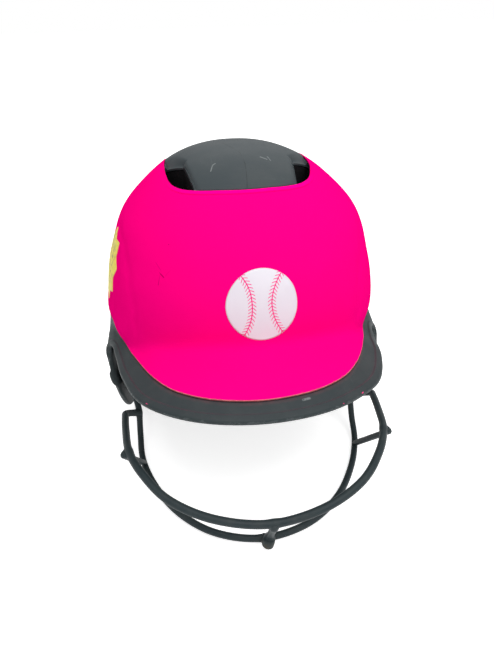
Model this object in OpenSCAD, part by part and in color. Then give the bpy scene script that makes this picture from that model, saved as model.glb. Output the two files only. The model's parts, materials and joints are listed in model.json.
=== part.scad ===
// Softball batting helmet with a wire face guard.
// Millimetres. The front faces -Y, +X is the wearer's left, +Z is up.
// z = 0 is the plane that the ear flaps and the chin wire stand on.

/* [Shell] */
// half of the shell's width at its widest
half_width = 102; // [98:1:106]
// from the ear line to the brow
front_length = 118; // [112:1:124]
// from the ear line to the back of the head
back_length = 128; // [122:1:134]
// height of the dome above the brow line
dome_height = 115.5; // [111:0.5:120]
// thickness of the moulded shell
wall = 3; // [2.6:0.1:3.2]
// height of the bead along the edge of the shell
bead = 0.8; // [0:0.1:1]
// height of the soft ridge along each side of the dome, as a share of the width
ridge = 0.03; // [0:0.002:0.036]

/* [Outer cover] */
// thickness of the cover
cover_body = 1.2; // [1:0.1:1.5]
// thickness of the cover at its lower edge
cover_hem = 0.8; // [0.6:0.1:1]
// bond line between the shell and the cover
bond = 0.65; // [0.6:0.05:0.75]
// how far the crown panel of the shell lies below the cover around it
crown_step = 0.3; // [0.2:0.05:0.6]

/* [Ear openings] */
// radius of each ear opening
ear_radius = 17; // [14:0.5:18]
// how far the ear opening is drawn out upward
ear_stretch = 8; // [0:1:10]
// ear opening behind the ear line
ear_y = 6; // [2:1:10]
// height of the middle of the lower curve of the ear opening
ear_z = 43; // [41:1:47]

/* [Lining] */
// thickness of the impact liner
liner_thick = 13; // [10:0.5:14]
// gap between the ear pads and the shell behind them
soft_gap = 0.35; // [0.3:0.05:0.5]
// gap behind the liner and behind the pads bonded to it
liner_gap = 0.6; // [0.55:0.05:0.8]
// thickness of the brow pad
brow_thick = 9; // [7:0.5:10]
// thickness of the crown pad
crown_thick = 9; // [7:0.5:10]
// thickness of the pads at the temples
temple_thick = 8; // [6:0.5:9]
// thickness of the pad at the nape
nape_thick = 9; // [7:0.5:10]
// thickness of the pads around the ears
ear_thick = 15; // [12:0.5:16]

/* [Face guard] */
// diameter of the wire of the upper bar
upper_wire = 5.6; // [5:0.1:6]
// diameter of the wire of the lower bar
lower_wire = 5; // [4.6:0.1:5.4]
// diameter of the wire of the cross bars
cross_wire = 4.6; // [4:0.1:5]
// diameter of the centre bar at its top
centre_wire = 5.4; // [5:0.1:6]
// sideways set of the lower bar, which has been knocked toward the wearer's right
sway = -2.6; // [-3:0.2:0]

/* [Fixings] */
// diameter of the fixing screws
screw_shank = 4; // [3.6:0.1:4.2]
// diameter of the screw heads
screw_head = 10; // [9:0.5:11]

/* [Hidden] */
// height of the brow line
belt_z = 94;
// exponents of the plan and of the upright section of the dome
plan_power = 2.2;
dome_power = 2.17;
// polar angle of the middle of the soft ridge, and its spread
ridge_angle = 52.5;
ridge_spread = 9;
// radius of the clearance holes of the screws
screw_hole = screw_shank / 2 + 0.25;
// how far the crown panel stands above the skin, so that it meets the cover around it
crown_rise = bond + cover_body - crown_step;
// clearance between two touching hard pieces
touch = 0.1;
// sides of the wires
wire_sides = 10;

// the edge of the shell from the middle of the peak round to the nape:
// azimuth, x, y, z, slope of the skin there, and two lengths that shape the skin above it
edge = [
    [0, 0, -174.5, 102.5, 14, 16, 42],
    [20, 39, -168, 102.5, 14, 16, 42],
    [38, 69.5, -145.5, 99, 16, 16, 37],
    [52, 85.5, -110.5, 93, 20, 16, 27],
    [60, 91.5, -84, 89, 30, 17, 20],
    [66, 95.5, -66, 87.5, 45, 17, 14],
    [70, 99.5, -57, 83.5, 65, 16, 12],
    [74, 103.5, -54, 75, 80, 18, 14],
    [78, 104, -54, 60, 88, 22, 18],
    [82, 103, -55, 44, 92, 26, 20],
    [86, 100.5, -52, 28, 94, 30, 24],
    [91, 99.5, -40, 13, 95, 30, 24],
    [97, 100, -18, 3, 95, 30, 24],
    [103, 100, 8, 0, 95, 30, 24],
    [109, 100, 34, 9, 94, 28, 20],
    [116, 96, 58, 25, 92, 26, 18],
    [128, 86, 84, 38, 90, 24, 16],
    [145, 62, 108, 44, 88, 24, 16],
    [162, 32, 123, 45, 88, 24, 16],
    [180, 0, 128, 45, 88, 24, 16]
];
// crown opening of the cover: azimuth and polar angle
crown_edge = [
    [0, 30.8], [15, 30.9], [30, 31.6], [40, 31.9], [50, 31.4], [58, 30.3], [66, 29], [74, 28.2],
    [84, 27.7], [96, 28.2], [108, 30], [120, 32.5], [135, 34.5], [150, 35], [165, 34.6], [180, 34.4]
];
// lower edge of the cover: azimuth and how far down the skin it runs
hem_edge = [
    [0, 1.88], [17, 1.875], [24, 1.865], [30, 1.852], [35, 1.83], [40, 1.803], [44, 1.778], [48, 1.755],
    [52, 1.722], [55, 1.68], [58, 1.59], [60, 1.39], [62, 1.18], [64, 1.08], [67, 1.045], [75, 1.01],
    [90, 0.985], [110, 1], [130, 1.08], [155, 1.2], [180, 1.24]
];
// lower edge of the impact liner
liner_edge = [
    [0, 0.97], [40, 0.96], [60, 0.95], [90, 0.94], [112, 1.02], [130, 1.3], [150, 1.42], [180, 1.46]
];

// a smooth value between the rows b and c of a table
function blend(a, b, c, d, t) =
    0.5 * (2 * b + (c - a) * t + (2 * a - 5 * b + 4 * c - d) * t * t + (3 * b - a - 3 * c + d) * t * t * t);
// the row of the table that the azimuth p falls in
function row_of(tbl, p, i = 0) = (i >= len(tbl) - 2 || tbl[i + 1][0] > p) ? i : row_of(tbl, p, i + 1);
// the table read at p, mirrored past both of its ends
function read_row(tbl, p) =
    let (n = len(tbl), i = row_of(tbl, p))
    let (t = (p - tbl[i][0]) / (tbl[i + 1][0] - tbl[i][0]))
    let (a = tbl[i == 0 ? 1 : i - 1], d = tbl[i == n - 2 ? n - 2 : i + 2])
    [for (k = [0 : len(tbl[0]) - 1])
        let (fa = (i == 0 && k == 1 && len(tbl[0]) > 2) ? -1 : 1)
        let (fd = (i == n - 2 && k == 1 && len(tbl[0]) > 2) ? -1 : 1)
        blend(fa * a[k], tbl[i][k], tbl[i + 1][k], fd * d[k], t)];
// azimuth folded into 0 to 180
function fold(p) = let (q = abs(p)) q > 180 ? 360 - q : q;
function side_of(p) = (p > 180 || (p < 0 && p > -180)) ? -1 : 1;
function unit(v) = v / norm(v);

// the dome
function plan_at(p) =
    let (e = 2 / plan_power, s = sin(p), c = cos(p), b = c > 0 ? front_length : back_length)
    [half_width * sign(s) * pow(abs(s), e), -b * sign(c) * pow(abs(c), e)];
function dome_at(p, th) =
    let (e = 2 / dome_power, xy = plan_at(p))
    let (swell = 1 + ridge * exp(-pow((th - ridge_angle) / ridge_spread, 2)) * pow(sin(p), 4))
    let (r = pow(sin(th), e) * swell)
    [xy[0] * r, xy[1] * r, belt_z + dome_height * pow(max(cos(th), 0), e)];
function belt_angle(p) = 82 - 4 * cos(2 * min(fold(p), 90));
// how the edge table follows the main sizes
function wide(x) = x * half_width / 102;
function along(y) = y * (y < 0 ? front_length / 118 : back_length / 128);
function fitted(q) = [wide(q[0]), along(q[1]), q[2]];
function edge_point(p) = let (q = read_row(edge, fold(p))) fitted([side_of(p) * q[1], q[2], q[3]]);
// the skin: v from 0 at the top of the dome to 1 at the brow line and 2 at the edge
function skirt_at(p, t) =
    let (q = read_row(edge, fold(p)), tb = belt_angle(p))
    let (p0 = dome_at(p, tb), d0 = unit(p0 - dome_at(p, tb - 1)), p3 = edge_point(p), xy = plan_at(p))
    let (b = xy[1] < 0 ? front_length : back_length)
    let (o = unit([xy[0] / pow(half_width, 2), xy[1] / pow(b, 2), 0]))
    let (d1 = o * cos(q[4]) + [0, 0, -sin(q[4])])
    let (p1 = p0 + d0 * q[5], p2 = p3 - d1 * q[6], u = 1 - t)
    u * u * u * p0 + 3 * u * u * t * p1 + 3 * u * t * t * p2 + t * t * t * p3;
function skin_at(p, v) = v <= 1 ? dome_at(p, belt_angle(p) * pow(v, 0.9)) : skirt_at(p, v - 1);
// outward direction of the skin
function skin_out(p, v) =
    let (a = min(v + 0.01, 2), b = a - 0.02)
    unit(cross(skin_at(p, a) - skin_at(p, b), skin_at(p + 0.4, v) - skin_at(p - 0.4, v)));
function skin_off(p, v, d) = skin_at(p, v) + skin_out(p, v) * d;
function v_of_angle(p, th) = pow(th / belt_angle(p), 1 / 0.9);
// how far down the skin the crown opening of the cover lies
function crown_v(p) = v_of_angle(p, read_row(crown_edge, fold(p))[1]);

// columns of the skin, two to a row of the edge table, all the way round
half_turn = [for (i = [0 : len(edge) - 2], k = [0, 0.5]) edge[i][0] * (1 - k) + edge[i + 1][0] * k];
columns = concat([for (i = [len(half_turn) - 1 : -1 : 1]) -half_turn[i]], half_turn, [180]);

// a closed piece between an outer and an inner grid of points, each [column][row]
// ring: the columns close on themselves; capped: the first row closes over the top
module piece(outer, inner, ring, capped) {
    nc = len(outer);
    nr = len(outer[0]);
    base = nc * nr;
    pts = concat([for (c = outer, q = c) q], [for (c = inner, q = c) q],
                 [top_middle(outer), top_middle(inner)]);
    last = ring ? nc - 1 : nc - 2;
    // each four-sided patch is cut along the diagonal that mirrors the one on the other side
    quads = [for (c = [0 : last], r = [0 : nr - 2])
        let (a = c * nr + r, b = ((c + 1) % nc) * nr + r)
        (ring && (c < nc / 2 - 1 || c == nc - 1)) ? [b, b + 1, a + 1, a] : [a, b, b + 1, a + 1]];
    skins = [for (q = quads, k = [0, 1], f = [0, 1])
        let (t = f == 0 ? [q[0], q[1], q[2]] : [q[0], q[2], q[3]])
        k == 0 ? t : [t[0] + base, t[2] + base, t[1] + base]];
    foot = [for (c = [0 : last], f = [0, 1])
        let (a = c * nr + nr - 1, b = ((c + 1) % nc) * nr + nr - 1)
        f == 0 ? [a, b, b + base] : [a, b + base, a + base]];
    head = [for (c = [0 : last], f = [0, 1])
        let (a = c * nr, b = ((c + 1) % nc) * nr)
        capped ? (f == 0 ? [2 * base, b, a] : [2 * base + 1, a + base, b + base])
               : (f == 0 ? [a, b + base, b] : [a, a + base, b + base])];
    ends = ring ? [] : [for (r = [0 : nr - 2], f = [0, 1], e = [0, 1])
        let (a = e == 0 ? r : (nc - 1) * nr + r)
        let (t = f == 0 ? [a, a + 1, a + 1 + base] : [a, a + 1 + base, a + base])
        e == 0 ? t : [t[0], t[2], t[1]]];
    polyhedron(points = pts, faces = concat(skins, foot, head, ends), convexity = 8);
}
// the point that closes the top of a capped grid
function top_middle(grid) =
    let (across = grid[0][0][1] + grid[round(len(grid) / 2)][0][1])
    [0, across / 2, max([for (c = grid) c[0][2]]) + 0.02];

// a cushion on the inside of the skin, between two azimuths and two depths down the skin
module cushion(p0, p1, v0, v1, back, thick, np, nv) {
    us = [for (i = [0 : np]) crowd(i / np)];
    ws = [for (i = [0 : nv]) crowd(i / nv)];
    outer = [for (u = us) [for (w = ws)
        skin_off(p0 + (p1 - p0) * u, v0 + (v1 - v0) * w, -back - seam_set * (1 - puff(u, w)))]];
    inner = [for (u = us) [for (w = ws)
        let (deep = seam_thick + (thick - seam_thick) * puff(u, w))
        skin_off(p0 + (p1 - p0) * u, v0 + (v1 - v0) * w, -back - deep)]];
    piece(outer, inner, false, false);
}
// a cushion's thickness at its seam, and how far the seam is drawn in
seam_thick = 0.9;
seam_set = 0.6;
// rows and columns crowd toward the edges of a cushion, where it rounds over
function crowd(u) = 0.35 * u + 0.65 * (0.5 - 0.5 * cos(180 * u));
function edge_far(u) = 1 - pow(abs(2 * u - 1), 5);
function puff(u, w) = pow(max(edge_far(u) * edge_far(w), 0), 0.5);

// a wire along a path, with its sides kept from twisting
function next_side(n, a, b) = let (d = unit(b)) unit(n - d * (n * d));
function sides_along(dirs, first) =
    [for (i = 0, n = next_side(first, dirs[0], dirs[0]); i < len(dirs);
        i = i + 1, n = i < len(dirs) ? next_side(n, dirs[i], dirs[i]) : n) n];
module wire(path, radii, first = [0, 0, 1]) {
    np = len(path);
    dirs = [for (i = [0 : np - 1]) unit(path[min(i + 1, np - 1)] - path[max(i - 1, 0)])];
    ns = sides_along(dirs, first);
    pts = [for (i = [0 : np - 1], k = [0 : wire_sides - 1])
        let (a = 360 * k / wire_sides, m = cross(dirs[i], ns[i]))
        path[i] + (ns[i] * cos(a) + m * sin(a)) * radii[min(i, len(radii) - 1)]];
    hoops = [for (i = [0 : np - 2], k = [0 : wire_sides - 1], f = [0, 1])
        let (a = i * wire_sides + k, b = i * wire_sides + (k + 1) % wire_sides)
        f == 0 ? [a, b + wire_sides, b] : [a, a + wire_sides, b + wire_sides]];
    start = [for (k = [0 : wire_sides - 1]) k];
    finish = [for (k = [wire_sides - 1 : -1 : 0]) (np - 1) * wire_sides + k];
    polyhedron(points = pts, faces = concat(hoops, [start], [finish]), convexity = 6);
}
// a smooth path through points, n steps to a span
function smooth(ps, n) =
    let (m = len(ps))
    concat([for (i = [0 : m - 2], k = [0 : n - 1])
        let (a = i == 0 ? 2 * ps[0] - ps[1] : ps[i - 1])
        let (d = i == m - 2 ? 2 * ps[m - 1] - ps[m - 2] : ps[i + 2])
        blend(a, ps[i], ps[i + 1], d, k / n)], [ps[m - 1]]);

// rows of the crown panel as shares of the way to its edge, and the foot of the step around it
crown_rows = [0.1, 0.42, 0.74];
panel_end = 0.012;
panel_foot = 0.004;
// rows from the crown opening down
shell_rows = [0.54, 0.63, 0.72, 0.82, 0.91, 1, 1.12, 1.25, 1.38, 1.5, 1.62, 1.74, 1.84, 1.9, 1.93, 2];
function rows_at(p) =
    let (e = crown_v(p), step = [e - panel_end, e - panel_foot, (e + shell_rows[0]) / 2])
    concat([for (w = crown_rows) w * e], step, shell_rows);
// the bead starts this far down the skin
bead_from = 1.92;
function rise_at(p, v) =
    v < crown_v(p) - (panel_end + panel_foot) / 2 ? crown_rise : v < bead_from ? 0 : bead;

// the hard shell: dome, peak, ear flaps and nape in one moulding
module base_shell() {
    color([0.28, 0.31, 0.32])
    difference() {
        piece([for (p = columns) [for (v = rows_at(p)) skin_off(p, v, rise_at(p, v))]],
              [for (p = columns) [for (v = rows_at(p)) skin_off(p, v, -wall)]], true, true);
        vents();
        ear_cut(0);
        screw_cut();
    }
}

// vents at the front corners of the crown panel
vent_plan = [[50.5, -10], [37, -22], [28.5, -55.5], [39, -54], [47, -43.5], [50.5, -32]];
module vents() {
    for (s = [1, -1])
        translate([0, 0, belt_z + 40])
        linear_extrude(height = dome_height)
        polygon([for (q = vent_plan) [s * wide(q[0]), along(q[1])]]);
}
// ear openings, right through the flaps and their pads
module ear_cut(grow) {
    for (s = [1, -1], k = [0, 1])
        translate([s * half_width, ear_y, ear_z + ear_stretch * k])
        rotate([0, 90, 0])
        cylinder(r = ear_radius + grow, h = 80, center = true, $fn = 48);
    for (s = [1, -1])
        translate([s * half_width, ear_y, ear_z + ear_stretch / 2])
        cube([80, 2 * (ear_radius + grow), ear_stretch], center = true);
}

// outer cover, bonded over the shell from the crown opening to the peak and round to the nape
cover_rows = [0, 0.014, 0.08, 0.16, 0.24, 0.32, 0.4, 0.48, 0.56, 0.65, 0.76, 0.88, 1];
// over the dome the rows run level down to just above the brow, and below that they spread to the hem
level_share = 0.48;
level_end = 0.93;
function cover_v(p, w) =
    let (a = crown_v(p), b = read_row(hem_edge, fold(p))[1])
    w < level_share ? a + (level_end - a) * w / level_share
                    : level_end + (b - level_end) * (w - level_share) / (1 - level_share);
// the lip is rounded over at the opening, and the cover thins toward its lower edge
lip_round = 0.5;
function cover_depth(w) = cover_body - (cover_body - cover_hem) * pow(w, 4) - (w == 0 ? lip_round : 0);
module outer_cover() {
    color([1, 0.02, 0.52])
    piece([for (p = columns) [for (w = cover_rows)
              skin_off(p, cover_v(p, w), bond + cover_depth(w))]],
          [for (p = columns) [for (w = cover_rows) skin_off(p, cover_v(p, w), bond)]], true, false);
}

// impact liner, bonded inside the shell
liner_rows = [0.03, 0.12, 0.22, 0.33, 0.48, 0.63, 0.77, 0.9, 0.98, 1];
function liner_v(p, w) = w + (read_row(liner_edge, fold(p))[1] - 1) * pow(w, 3);
// the liner is bevelled along its lower edge
function liner_depth(w) = liner_thick * (w > 0.98 ? 0.75 : 1);
module impact_liner() {
    color([0.12, 0.12, 0.13])
    difference() {
        piece([for (p = columns) [for (w = liner_rows) skin_off(p, liner_v(p, w), -wall - liner_gap)]],
              [for (p = columns) [for (w = liner_rows)
                  skin_off(p, liner_v(p, w), -wall - liner_gap - liner_depth(w))]], true, true);
        vents();
    }
}
// how far inside the skin the pads on the liner begin
liner_face = wall + liner_gap + liner_thick + liner_gap;

// the pads: each lies between two azimuths and two depths down the skin
module brow_pad() {
    color([0.16, 0.16, 0.17])
    cushion(-46, 46, 0.7, 0.93, liner_face, brow_thick, 14, 8);
}
crown_ring = [for (a = [-165 : 15 : 180]) a];
// further gap behind the crown pad, whose back is nearly flat
crown_gap = 0.3;
module crown_pad() {
    // rows from the middle outward, and the share of the thickness that the pad has at each
    rows = [0.03, 0.1, 0.18, 0.22, 0.25, 0.265, 0.27];
    shares = [1, 0.98, 0.9, 0.74, 0.5, 0.25, 0.1];
    color([0.16, 0.16, 0.17])
    piece([for (p = crown_ring) [for (v = rows) skin_off(p, v, -liner_face - crown_gap)]],
          [for (p = crown_ring) [for (i = [0 : len(rows) - 1])
              skin_off(p, rows[i], -liner_face - crown_gap - crown_thick * shares[i])]], true, true);
}
module temple_pad(s) {
    color([0.16, 0.16, 0.17])
    cushion(s > 0 ? 64 : -116, s > 0 ? 116 : -64, 0.6, 0.86, liner_face, temple_thick, 12, 8);
}
module nape_pad() {
    color([0.16, 0.16, 0.17])
    cushion(146, 214, 1.04, 1.36, liner_face, nape_thick, 12, 8);
}
module ear_pad(s) {
    color([0.16, 0.16, 0.17])
    difference() {
        cushion(s > 0 ? 91.5 : -112, s > 0 ? 112 : -91.5, 1.18, 1.86, wall + soft_gap, ear_thick, 12, 12);
        ear_cut(3);
    }
}

// fixings at the front of each flap, each given as an azimuth and a depth down the skin
jaw_fix = [87.2, 1.655];
temple_fix = [81.6, 1.42];
// how far a clip's plate stands off the inside of the shell, and its thickness and half width
plate_gap = 0.4;
plate = 3;
plate_half = 6;
// from a screw forward to the wire that its clip holds
reach = 12;
// wall of a clip around its wire, and the slack around the wire in it
sleeve = 1.8;
slack = 0.5;
wire_depth = wall + plate_gap + sleeve + slack + lower_wire / 2;
// the local frame of a fixing: x down, y back, z out of the skin
function fix_out(f) = skin_out(f[0], f[1]);
function fix_turn(f) = let (n = fix_out(f)) [0, acos(n[2]), atan2(n[1], n[0])];
function fix_point(f, d) =
    let (n = fix_out(f), t = fix_turn(f), b = t[1], c = t[2])
    let (down = [cos(b) * cos(c), cos(b) * sin(c), -sin(b)], back = [-sin(c), cos(c), 0])
    skin_at(f[0], f[1]) + d[0] * down + d[1] * back + d[2] * n;
module at_fix(s, f) {
    mirror([s > 0 ? 0 : 1, 0, 0])
    translate(skin_at(f[0], f[1]))
    rotate(fix_turn(f))
    children();
}
module screw_cut() {
    for (s = [1, -1], f = [jaw_fix, temple_fix])
        at_fix(s, f)
        cylinder(r = screw_hole, h = 30, center = true, $fn = 24);
}
module clip(s, f) {
    color([0.1, 0.1, 0.11])
    at_fix(s, f)
    difference() {
        union() {
            translate([-plate_half, -reach, -wall - plate_gap - plate])
            cube([2 * plate_half, reach + plate_half, plate]);
            translate([0, -reach, -wire_depth])
            rotate([0, 90, 0])
            cylinder(r = lower_wire / 2 + slack + sleeve, h = 2 * plate_half, center = true, $fn = 32);
        }
        translate([0, -reach, -wire_depth])
        rotate([0, 90, 0])
        cylinder(r = lower_wire / 2 + slack, h = 4 * plate_half, center = true, $fn = 32);
        translate([0, 0, -wall - plate_gap - plate / 2])
        cylinder(r = screw_hole, h = 2 * plate, center = true, $fn = 24);
    }
}
// length of the screws under their heads
screw_length = 12;
module screw(s, f) {
    color([0.35, 0.36, 0.37])
    at_fix(s, f)
    union() {
        translate([0, 0, 0.2])
        cylinder(r1 = screw_head / 2, r2 = screw_head / 2 - 1.4, h = 2.2, $fn = 36);
        translate([0, 0, 0.7 - screw_length])
        cylinder(r = screw_shank / 2, h = screw_length, $fn = 24);
    }
}
module nut(s, f) {
    color([0.4, 0.4, 0.42])
    at_fix(s, f)
    translate([0, 0, -wall - plate_gap - plate - touch])
    mirror([0, 0, 1])
    difference() {
        union() {
            cylinder(r = screw_shank / 2 + 3, h = 1, $fn = 36);
            cylinder(r = screw_shank / 2 + 1.5, h = 3.6, $fn = 6);
        }
        translate([0, 0, -1])
        cylinder(r = screw_shank / 2 + touch, h = 8, $fn = 24);
    }
}

module screws(f) {
    for (s = [1, -1])
        screw(s, f);
}
module nuts(f) {
    for (s = [1, -1])
        nut(s, f);
}

// face guard: points of its wires on the wearer's left, from the middle outward
upper_points = [[0, -188.5, 37], [32, -183.5, 39.5], [58, -171.5, 45], [74.5, -153, 49], [85.5, -130, 47],
    [91, -104, 42], [94, -84, 38], [94.5, -76.5, 34.5]];
lower_points = [[0, -172.5, 2.6], [30.5, -166, 4], [54.5, -148, 5], [71.5, -122, 4], [82, -95.5, 4],
    [84.5, -76, 11], [84.5, -66.5, 26], [86.5, -62, 33]];
// the knocked wire is back in its place where it reaches its clips
function knocked(q) = [q[0] + sway * min(max((44 - q[2]) / 20, 0), 1), q[1], max(q[2], lower_wire / 2)];
function lower_at(s, i) = let (q = fitted(lower_points[i])) knocked([s * q[0], q[1], q[2]]);
function strand_at(s, f, d) = let (q = fix_point(f, [d, -reach, -wire_depth])) [s * q[0], q[1], q[2]];
// the free run of the lower bar, and its straight strands in the clips
function lower_side(s) =
    concat([for (i = [0 : len(lower_points) - 1]) lower_at(s, i)], [strand_at(s, jaw_fix, plate_half + 1)]);
function strands(s) = [strand_at(s, jaw_fix, -plate_half - 1), strand_at(s, temple_fix, plate_half + 1),
    strand_at(s, temple_fix, -plate_half - 1)];
function upper_at(s, i) = let (q = fitted(upper_points[i])) [s * q[0], q[1], q[2]];
// gap that a weld fills where one wire ends on another
weld_gap = 0.9;
// the upper bar's end turns in and butts against the lower bar's rising wire
function butt(s) =
    let (q = lower_at(s, 6), c = upper_at(s, len(upper_points) - 1))
    let (t = unit(lower_at(s, 7) - lower_at(s, 5)))
    let (d = unit(q - c), e = unit(d - t * (d * t)))
    q - e * (lower_wire / 2 + weld_gap);
function upper_side(s) = concat([for (i = [0 : len(upper_points) - 1]) upper_at(s, i)], [butt(s)]);
function tail(ps) = [for (i = [1 : len(ps) - 1]) ps[i]];
function backward(ps) = [for (i = [len(ps) - 1 : -1 : 0]) ps[i]];
module guard_upper_bar() {
    color([0.17, 0.2, 0.21])
    wire(smooth(concat(backward(tail(upper_side(-1))), upper_side(1)), 3), [upper_wire / 2]);
}
module guard_lower_bar() {
    color([0.17, 0.2, 0.21])
    wire(concat(backward(strands(-1)), smooth(concat(backward(tail(lower_side(-1))), lower_side(1)), 3),
        strands(1)), [lower_wire / 2], [0, 1, 0]);
}
// each cross bar stands on the lower bar and passes outside the upper bar, where it ends in a short nose
nose = 1.8;
module guard_cross_bar(s) {
    low = lower_at(s, 4) * 0.86 + lower_at(s, 3) * 0.14;
    high = upper_at(s, 4);
    up = unit(high - low);
    aside = unit(cross(unit(upper_at(s, 5) - upper_at(s, 3)), up)) * s;
    meet = high + aside * ((upper_wire + cross_wire) / 2 + touch);
    foot = low + unit(meet - low) * (lower_wire / 2 + weld_gap);
    color([0.17, 0.2, 0.21])
    wire([foot, meet, meet + unit(meet - foot) * nose], [cross_wire / 2]);
}
// the centre bar hangs from the upper bar and ends in a blunt foot in front of the lower bar
module guard_centre_bar() {
    top = upper_at(1, 0) - [0, 0, upper_wire / 2 + touch];
    chin = lower_at(1, 0);
    front = chin[1] - lower_wire / 2 - touch;
    r = centre_wire / 2;
    color([0.17, 0.2, 0.21])
    wire([[1.5, top[1], top[2]], [0.8, front - r - 1, chin[2] + 9], [0, front - r - 1.2, chin[2] + 5],
          [-0.8, front - r - 1.4, chin[2] + 1.5], [-0.8, front - r - 1.4, chin[2] + 0.5]],
         [r + 0.2, r + 0.3, r + 0.8, r + 1.2, r + 0.5], [0, 1, 0]);
}

base_shell();
outer_cover();
impact_liner();
brow_pad();
crown_pad();
temple_pad(1);  // temple_pad_left
temple_pad(-1);  // temple_pad_right
nape_pad();
ear_pad(1);  // ear_pad_left
ear_pad(-1);  // ear_pad_right
guard_upper_bar();
guard_lower_bar();
guard_cross_bar(1);  // guard_cross_bar_left
guard_cross_bar(-1);  // guard_cross_bar_right
guard_centre_bar();
clip(1, jaw_fix);  // jaw_clip_left
clip(-1, jaw_fix);  // jaw_clip_right
clip(1, temple_fix);  // temple_clip_left
clip(-1, temple_fix);  // temple_clip_right
screws(jaw_fix);  // jaw_screws
screws(temple_fix);  // temple_screws
nuts(jaw_fix);  // jaw_nuts
nuts(temple_fix);  // temple_nuts
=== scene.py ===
# Softball batting helmet with a wire face guard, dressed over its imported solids.
# Metres, in the frame of the solids: -Y is the front, +X is the wearer's left, +Z is up.
import json
import math
import bmesh
import bpy
import numpy as np
from mathutils import Matrix, Vector
from mathutils.bvhtree import BVHTree
from mathutils.kdtree import KDTree

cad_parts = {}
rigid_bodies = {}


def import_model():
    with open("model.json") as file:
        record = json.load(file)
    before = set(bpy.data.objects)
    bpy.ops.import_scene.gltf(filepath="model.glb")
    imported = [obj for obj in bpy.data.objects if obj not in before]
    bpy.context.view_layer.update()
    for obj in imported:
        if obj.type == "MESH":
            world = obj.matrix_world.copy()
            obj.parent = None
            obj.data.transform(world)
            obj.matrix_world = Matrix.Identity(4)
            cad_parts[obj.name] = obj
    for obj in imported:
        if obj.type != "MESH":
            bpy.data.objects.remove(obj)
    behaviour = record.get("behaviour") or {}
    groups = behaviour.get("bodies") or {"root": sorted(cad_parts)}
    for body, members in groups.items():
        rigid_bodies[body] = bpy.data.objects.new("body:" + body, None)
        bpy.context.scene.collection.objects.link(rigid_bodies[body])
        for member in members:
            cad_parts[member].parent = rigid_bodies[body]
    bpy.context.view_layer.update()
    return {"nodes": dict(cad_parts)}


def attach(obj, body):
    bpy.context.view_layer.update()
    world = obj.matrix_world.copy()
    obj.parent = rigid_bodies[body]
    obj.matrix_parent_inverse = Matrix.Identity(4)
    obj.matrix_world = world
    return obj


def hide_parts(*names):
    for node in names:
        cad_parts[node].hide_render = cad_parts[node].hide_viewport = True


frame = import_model()
cadNames = {o.name for o in bpy.data.objects}
mm = 0.001
print("frame loaded:", len(frame["nodes"]), "nodes")

# camera
photoView = {
    "target": (2.37, -38.62, 77.56),  # what the camera looks at, in mm
    "azimuth": -4.97,
    "elevation": 31.67,
    "distance": 395.5,
    "roll": -1.73,
    "focalPixels": 500,
    "imageHeight": 659,
    "sensor": 36,
}


def addCamera(v):
    a, e = math.radians(v["azimuth"]), math.radians(v["elevation"])
    back = Vector((math.sin(a) * math.cos(e), -math.cos(a) * math.cos(e), math.sin(e)))
    side = (-back).cross(Vector((0, 0, 1))).normalized()
    up = side.cross(-back)
    r = math.radians(v["roll"])
    side, up = side * math.cos(r) + up * math.sin(r), up * math.cos(r) - side * math.sin(r)
    data = bpy.data.cameras.new("camera")
    data.sensor_fit = "VERTICAL"
    data.sensor_height = v["sensor"]
    data.lens = v["focalPixels"] / v["imageHeight"] * v["sensor"]
    data.clip_start = 0.01
    cam = bpy.data.objects.new("camera", data)
    bpy.context.collection.objects.link(cam)
    place = Matrix((side, up, back)).transposed().to_4x4()
    place.translation = (Vector(v["target"]) + back * v["distance"]) * mm
    cam.matrix_world = place
    bpy.context.scene.camera = cam


addCamera(photoView)
print("camera placed")


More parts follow.
